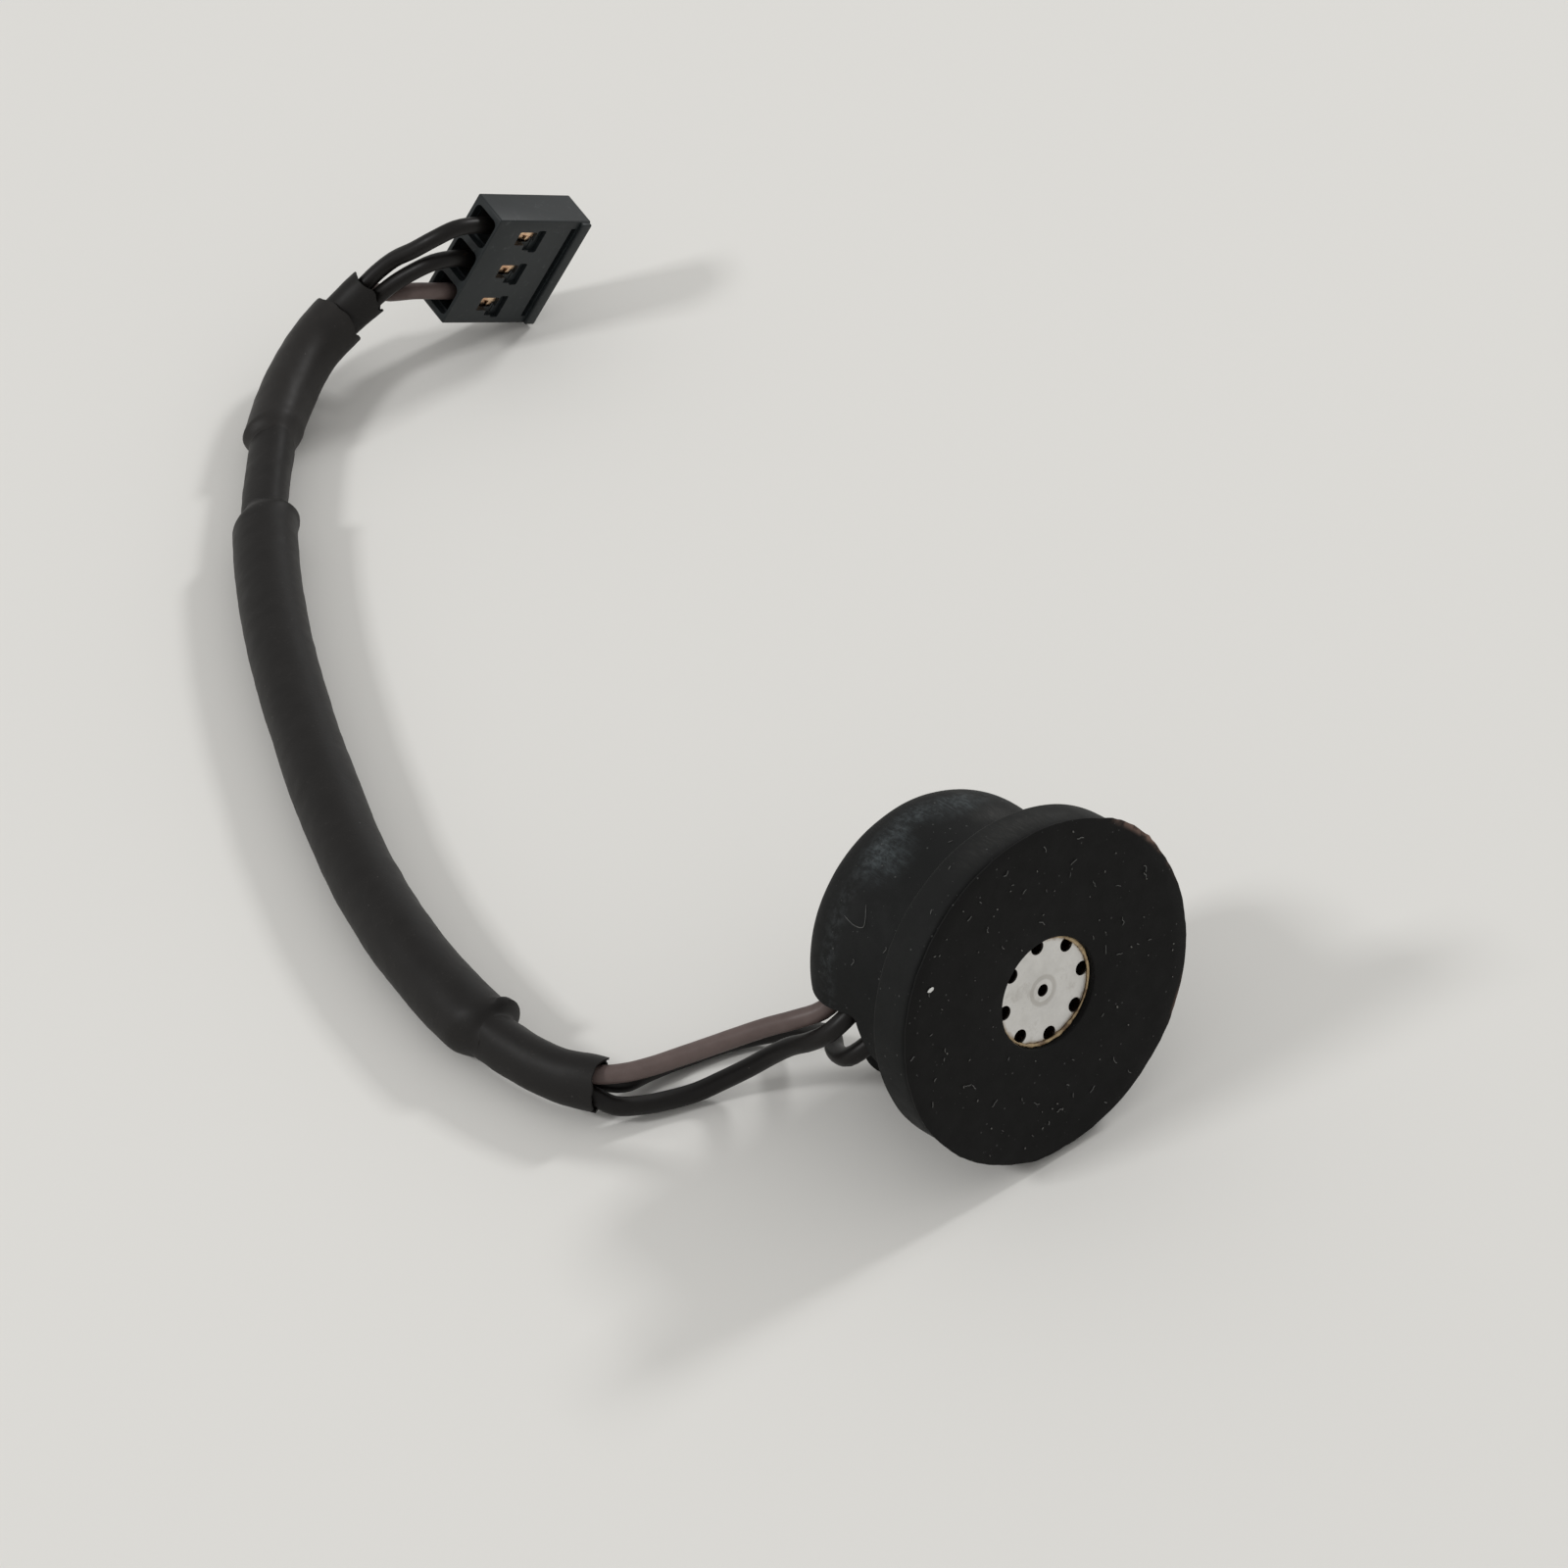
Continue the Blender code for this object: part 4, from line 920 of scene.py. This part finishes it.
SIDE_THREADS = [
    [(143.0, 6.1), (144.6, 5.56), (144.1, 5.13), (141.3, 5.12), (135.4, 5.38)],
    [(160.0, 5.2), (158.0, 5.1), (157.0, 5.15)],
    [(150.0, 3.9), (148.0, 3.8), (147.0, 3.85)],
    [(113.0, 1.55), (111.5, 1.6)],
    [(96.0, 4.35), (94.0, 4.3)],
    [(128.0, 0.9), (126.5, 1.0)],
]
SIDE_THREAD_RADIUS = 0.016


def make_lint():
    """Short fibres and crumbs that cling to the rubber, the same ones each time."""
    draw = random.Random(11)
    threads = bmesh.new()
    crumbs = bmesh.new()
    for number in range(LINT_COUNT):
        away = math.sqrt(draw.uniform(LINT_INNER ** 2, LINT_OUTER ** 2))
        turn = draw.uniform(0.0, math.tau)
        spot = Vector((away * math.cos(turn), away * math.sin(turn), 0.012))
        if number % 2:
            add_thread(threads, spot, draw)
        else:
            size = [draw.uniform(0.02, 0.06), draw.uniform(0.015, 0.035), 0.02]
            add_crumb(crumbs, spot, size, draw.uniform(0.0, math.pi))
    speck = bmesh.new()
    add_crumb(speck, Vector((-5.6, 3.15, 0.03)), (0.16, 0.08, 0.06), 0.15)
    new_piece("white_speck", speck, WHITE_SPECK, BOOT_PLACE)
    new_piece("face_threads", threads, LINT, BOOT_PLACE)
    new_piece("face_crumbs", crumbs, CRUMB, BOOT_PLACE)
    hairs = bmesh.new()
    for route in SIDE_THREADS:
        points = [side_spot(turn, depth) for turn, depth in route]
        grow_thread(hairs, smooth_curve(points, 4), SIDE_THREAD_RADIUS)
    new_piece("side_threads", hairs, LINT, BOOT_PLACE)


def side_spot(turn, depth):
    """A place just proud of the boot's side, at an angle in degrees and a depth."""
    radius = (BAND_RADIUS if depth < BAND_REAR else waist_radius(depth)) + 0.02
    return Vector((radius * math.cos(math.radians(turn)), radius * math.sin(math.radians(turn)), -depth))


def add_thread(shape, spot, draw):
    """One fibre that lies on the face."""
    turn = draw.uniform(0.0, math.tau)
    points = [spot]
    for _ in range(draw.randint(2, 4)):
        turn += draw.uniform(-0.9, 0.9)
        points.append(points[-1] + Vector((math.cos(turn), math.sin(turn), 0.0)) * draw.uniform(0.06, 0.13))
    grow_thread(shape, smooth_curve(points, 2), draw.uniform(0.013, 0.022))


def grow_thread(shape, points, radius):
    """A fibre along a line of points, with tapered ends."""
    radii = [radius * (0.35 if step in (0, len(points) - 1) else 1.0) for step in range(len(points))]
    add_shape(shape, swept(points, radii, 6, ends=True), Matrix.Identity(4))


def add_crumb(shape, spot, size, turn):
    """One flat crumb."""
    crumb = bmesh.new()
    bmesh.ops.create_icosphere(crumb, subdivisions=2, radius=1.0)
    for vert in crumb.verts:
        vert.co *= 1.0 + 0.3 * lump(vert.co + spot * 9.0, 1.3)
    place = Matrix.Translation(spot) @ Matrix.Rotation(turn, 4, "Z") @ Matrix.Diagonal((*size, 1.0))
    add_shape(shape, crumb, place)


make_boot()
make_can()
make_glue()
make_lint()


# The plug, in its own frame: X towards its mating end, Y along its row of contacts, Z out of its windows

PLUG_PLACE = Matrix.LocRotScale(Vector((16.0161, 53.4638, 4.5246)) * MM,
                                Euler([math.radians(turn) for turn in (104.376, 25.3698, 1.5917)]), None)
PLUG_LENGTH = 5.9
PLUG_WIDTH = 6.3
PLUG_BODY = 2.0
PLUG_PITCH = 2.0
PLUG_EDGE = 0.09
CAVITY_LEVEL = 1.0
CAVITY_SIDE = 1.4
CAVITY_EDGE = 0.18
CAVITY_FUNNEL = 1.62
CONTACT_BOX = 2.9
CONTACT_SIDE = 1.12
CONTACT_WALL = 0.12
CONTACT_SETBACK = 2.7
CRIMP_LENGTH = 0.92


def make_plug_body():
    """The moulded housing: cavities right through, windows, latch slots and a groove by its mating edge."""
    shape = block((PLUG_LENGTH, PLUG_WIDTH, PLUG_BODY), (0.0, 0.0, PLUG_BODY / 2), PLUG_EDGE)
    body = new_piece("plug_shell", shape, PLUG, PLUG_PLACE, ("plug_housing",))
    lip = block((0.62, PLUG_WIDTH - 0.12, 0.5), (2.6, 0.0, PLUG_BODY - 0.06), 0.08)
    bump = block((0.34, 0.3, 0.5), (2.72, 3.0, 0.32), 0.08)
    for extra in (lip, bump):
        work_on(body, [cutter(extra, PLUG_PLACE)], "UNION")
    tools = [block((0.3, PLUG_WIDTH - 0.9, 0.5), (2.06, 0.0, PLUG_BODY), 0.05)]
    for contact in (-PLUG_PITCH, 0.0, PLUG_PITCH):
        tools.append(block((PLUG_LENGTH * 1.2, CAVITY_SIDE, CAVITY_SIDE), (0.0, contact, CAVITY_LEVEL),
                           CAVITY_EDGE, 0))
        tools.append(block((1.0, CAVITY_FUNNEL, CAVITY_FUNNEL),
                           (-PLUG_LENGTH / 2 - 0.1, contact, CAVITY_LEVEL + 0.06), 0.3, 0))
        tools.append(block((1.1, 0.78, 2.0), (-0.7, contact + 0.05, CAVITY_LEVEL + 1.0), 0.08, 2))
        tools.append(block((0.5, 1.3, 0.5), (0.12, contact - 0.1, PLUG_BODY), 0.1, 2))
        tools.append(block((0.55, 0.55, 0.56), (-0.3, contact - 0.36, PLUG_BODY), 0.06, 2))
    carve(body, [cutter(tool, PLUG_PLACE) for tool in tools])


def make_contact(number):
    """A folded contact: a square box, a latch tongue under the window, and a crimp round the strands."""
    shape = block((CONTACT_BOX, CONTACT_SIDE, CONTACT_SIDE), (0.35, 0.0, 0.0), 0.1, 0)
    mouth = [face for face in shape.faces if face.normal.x > 0.9]
    bmesh.ops.inset_region(shape, faces=mouth, thickness=CONTACT_WALL)
    pushed = bmesh.ops.extrude_face_region(shape, geom=mouth)["geom"]
    bmesh.ops.delete(shape, geom=mouth, context="FACES")
    bmesh.ops.translate(shape, vec=(-CONTACT_SETBACK, 0.0, 0.0),
                        verts=[item for item in pushed if isinstance(item, bmesh.types.BMVert)])
    top = CONTACT_SIDE / 2
    for size, spot, tilt, axis in (
            ((0.95, 0.34, 0.09), (-0.62, 0.22, top + 0.14), -12.0, "Y"),
            ((0.3, 0.5, 0.09), (-0.25, -0.05, top + 0.1), 9.0, "X")):
        add_shape(shape, block(size, (0.0, 0.0, 0.0), 0.03),
                  Matrix.Translation(spot) @ Matrix.Rotation(math.radians(tilt), 4, axis))
    barrel = bmesh.new()
    bmesh.ops.create_cone(barrel, cap_ends=True, segments=24, radius1=0.3, radius2=0.36, depth=CRIMP_LENGTH)
    add_shape(shape, barrel, Matrix.Translation((-1.54, 0.0, 0.0)) @ Matrix.Rotation(-math.pi / 2, 4, "Y"))
    place = PLUG_PLACE @ Matrix.Translation(Vector((0.0, (number - 2) * PLUG_PITCH, CAVITY_LEVEL)) * MM)
    return new_piece(f"contact_{number}", shape, TERMINAL, place, (f"terminal_{number}",))


make_plug_body()
CONTACTS = [make_contact(number) for number in (1, 2, 3)]


# Inner pieces keep their solids and get their finishes

for node, finish in (
        ("diaphragm_ring", BRASS), ("back_plate", BRASS), ("contact_ring", BRASS), ("spacer_ring", SPACER),
        ("plate_holder", HOLDER), ("circuit_board", LAMINATE), ("transistor", CHIP),
        ("capacitor_1", CERAMIC), ("capacitor_2", CERAMIC), ("solder_land_1", TIN), ("solder_land_2", TIN),
        ("solder_land_3", TIN), ("solder_joint_1", SOLDER), ("solder_joint_2", SOLDER),
        ("solder_joint_3", SOLDER), ("diaphragm", FILM)):
    skin = frame["nodes"][node]
    skin.data.materials.clear()
    skin.data.materials.append(finish)
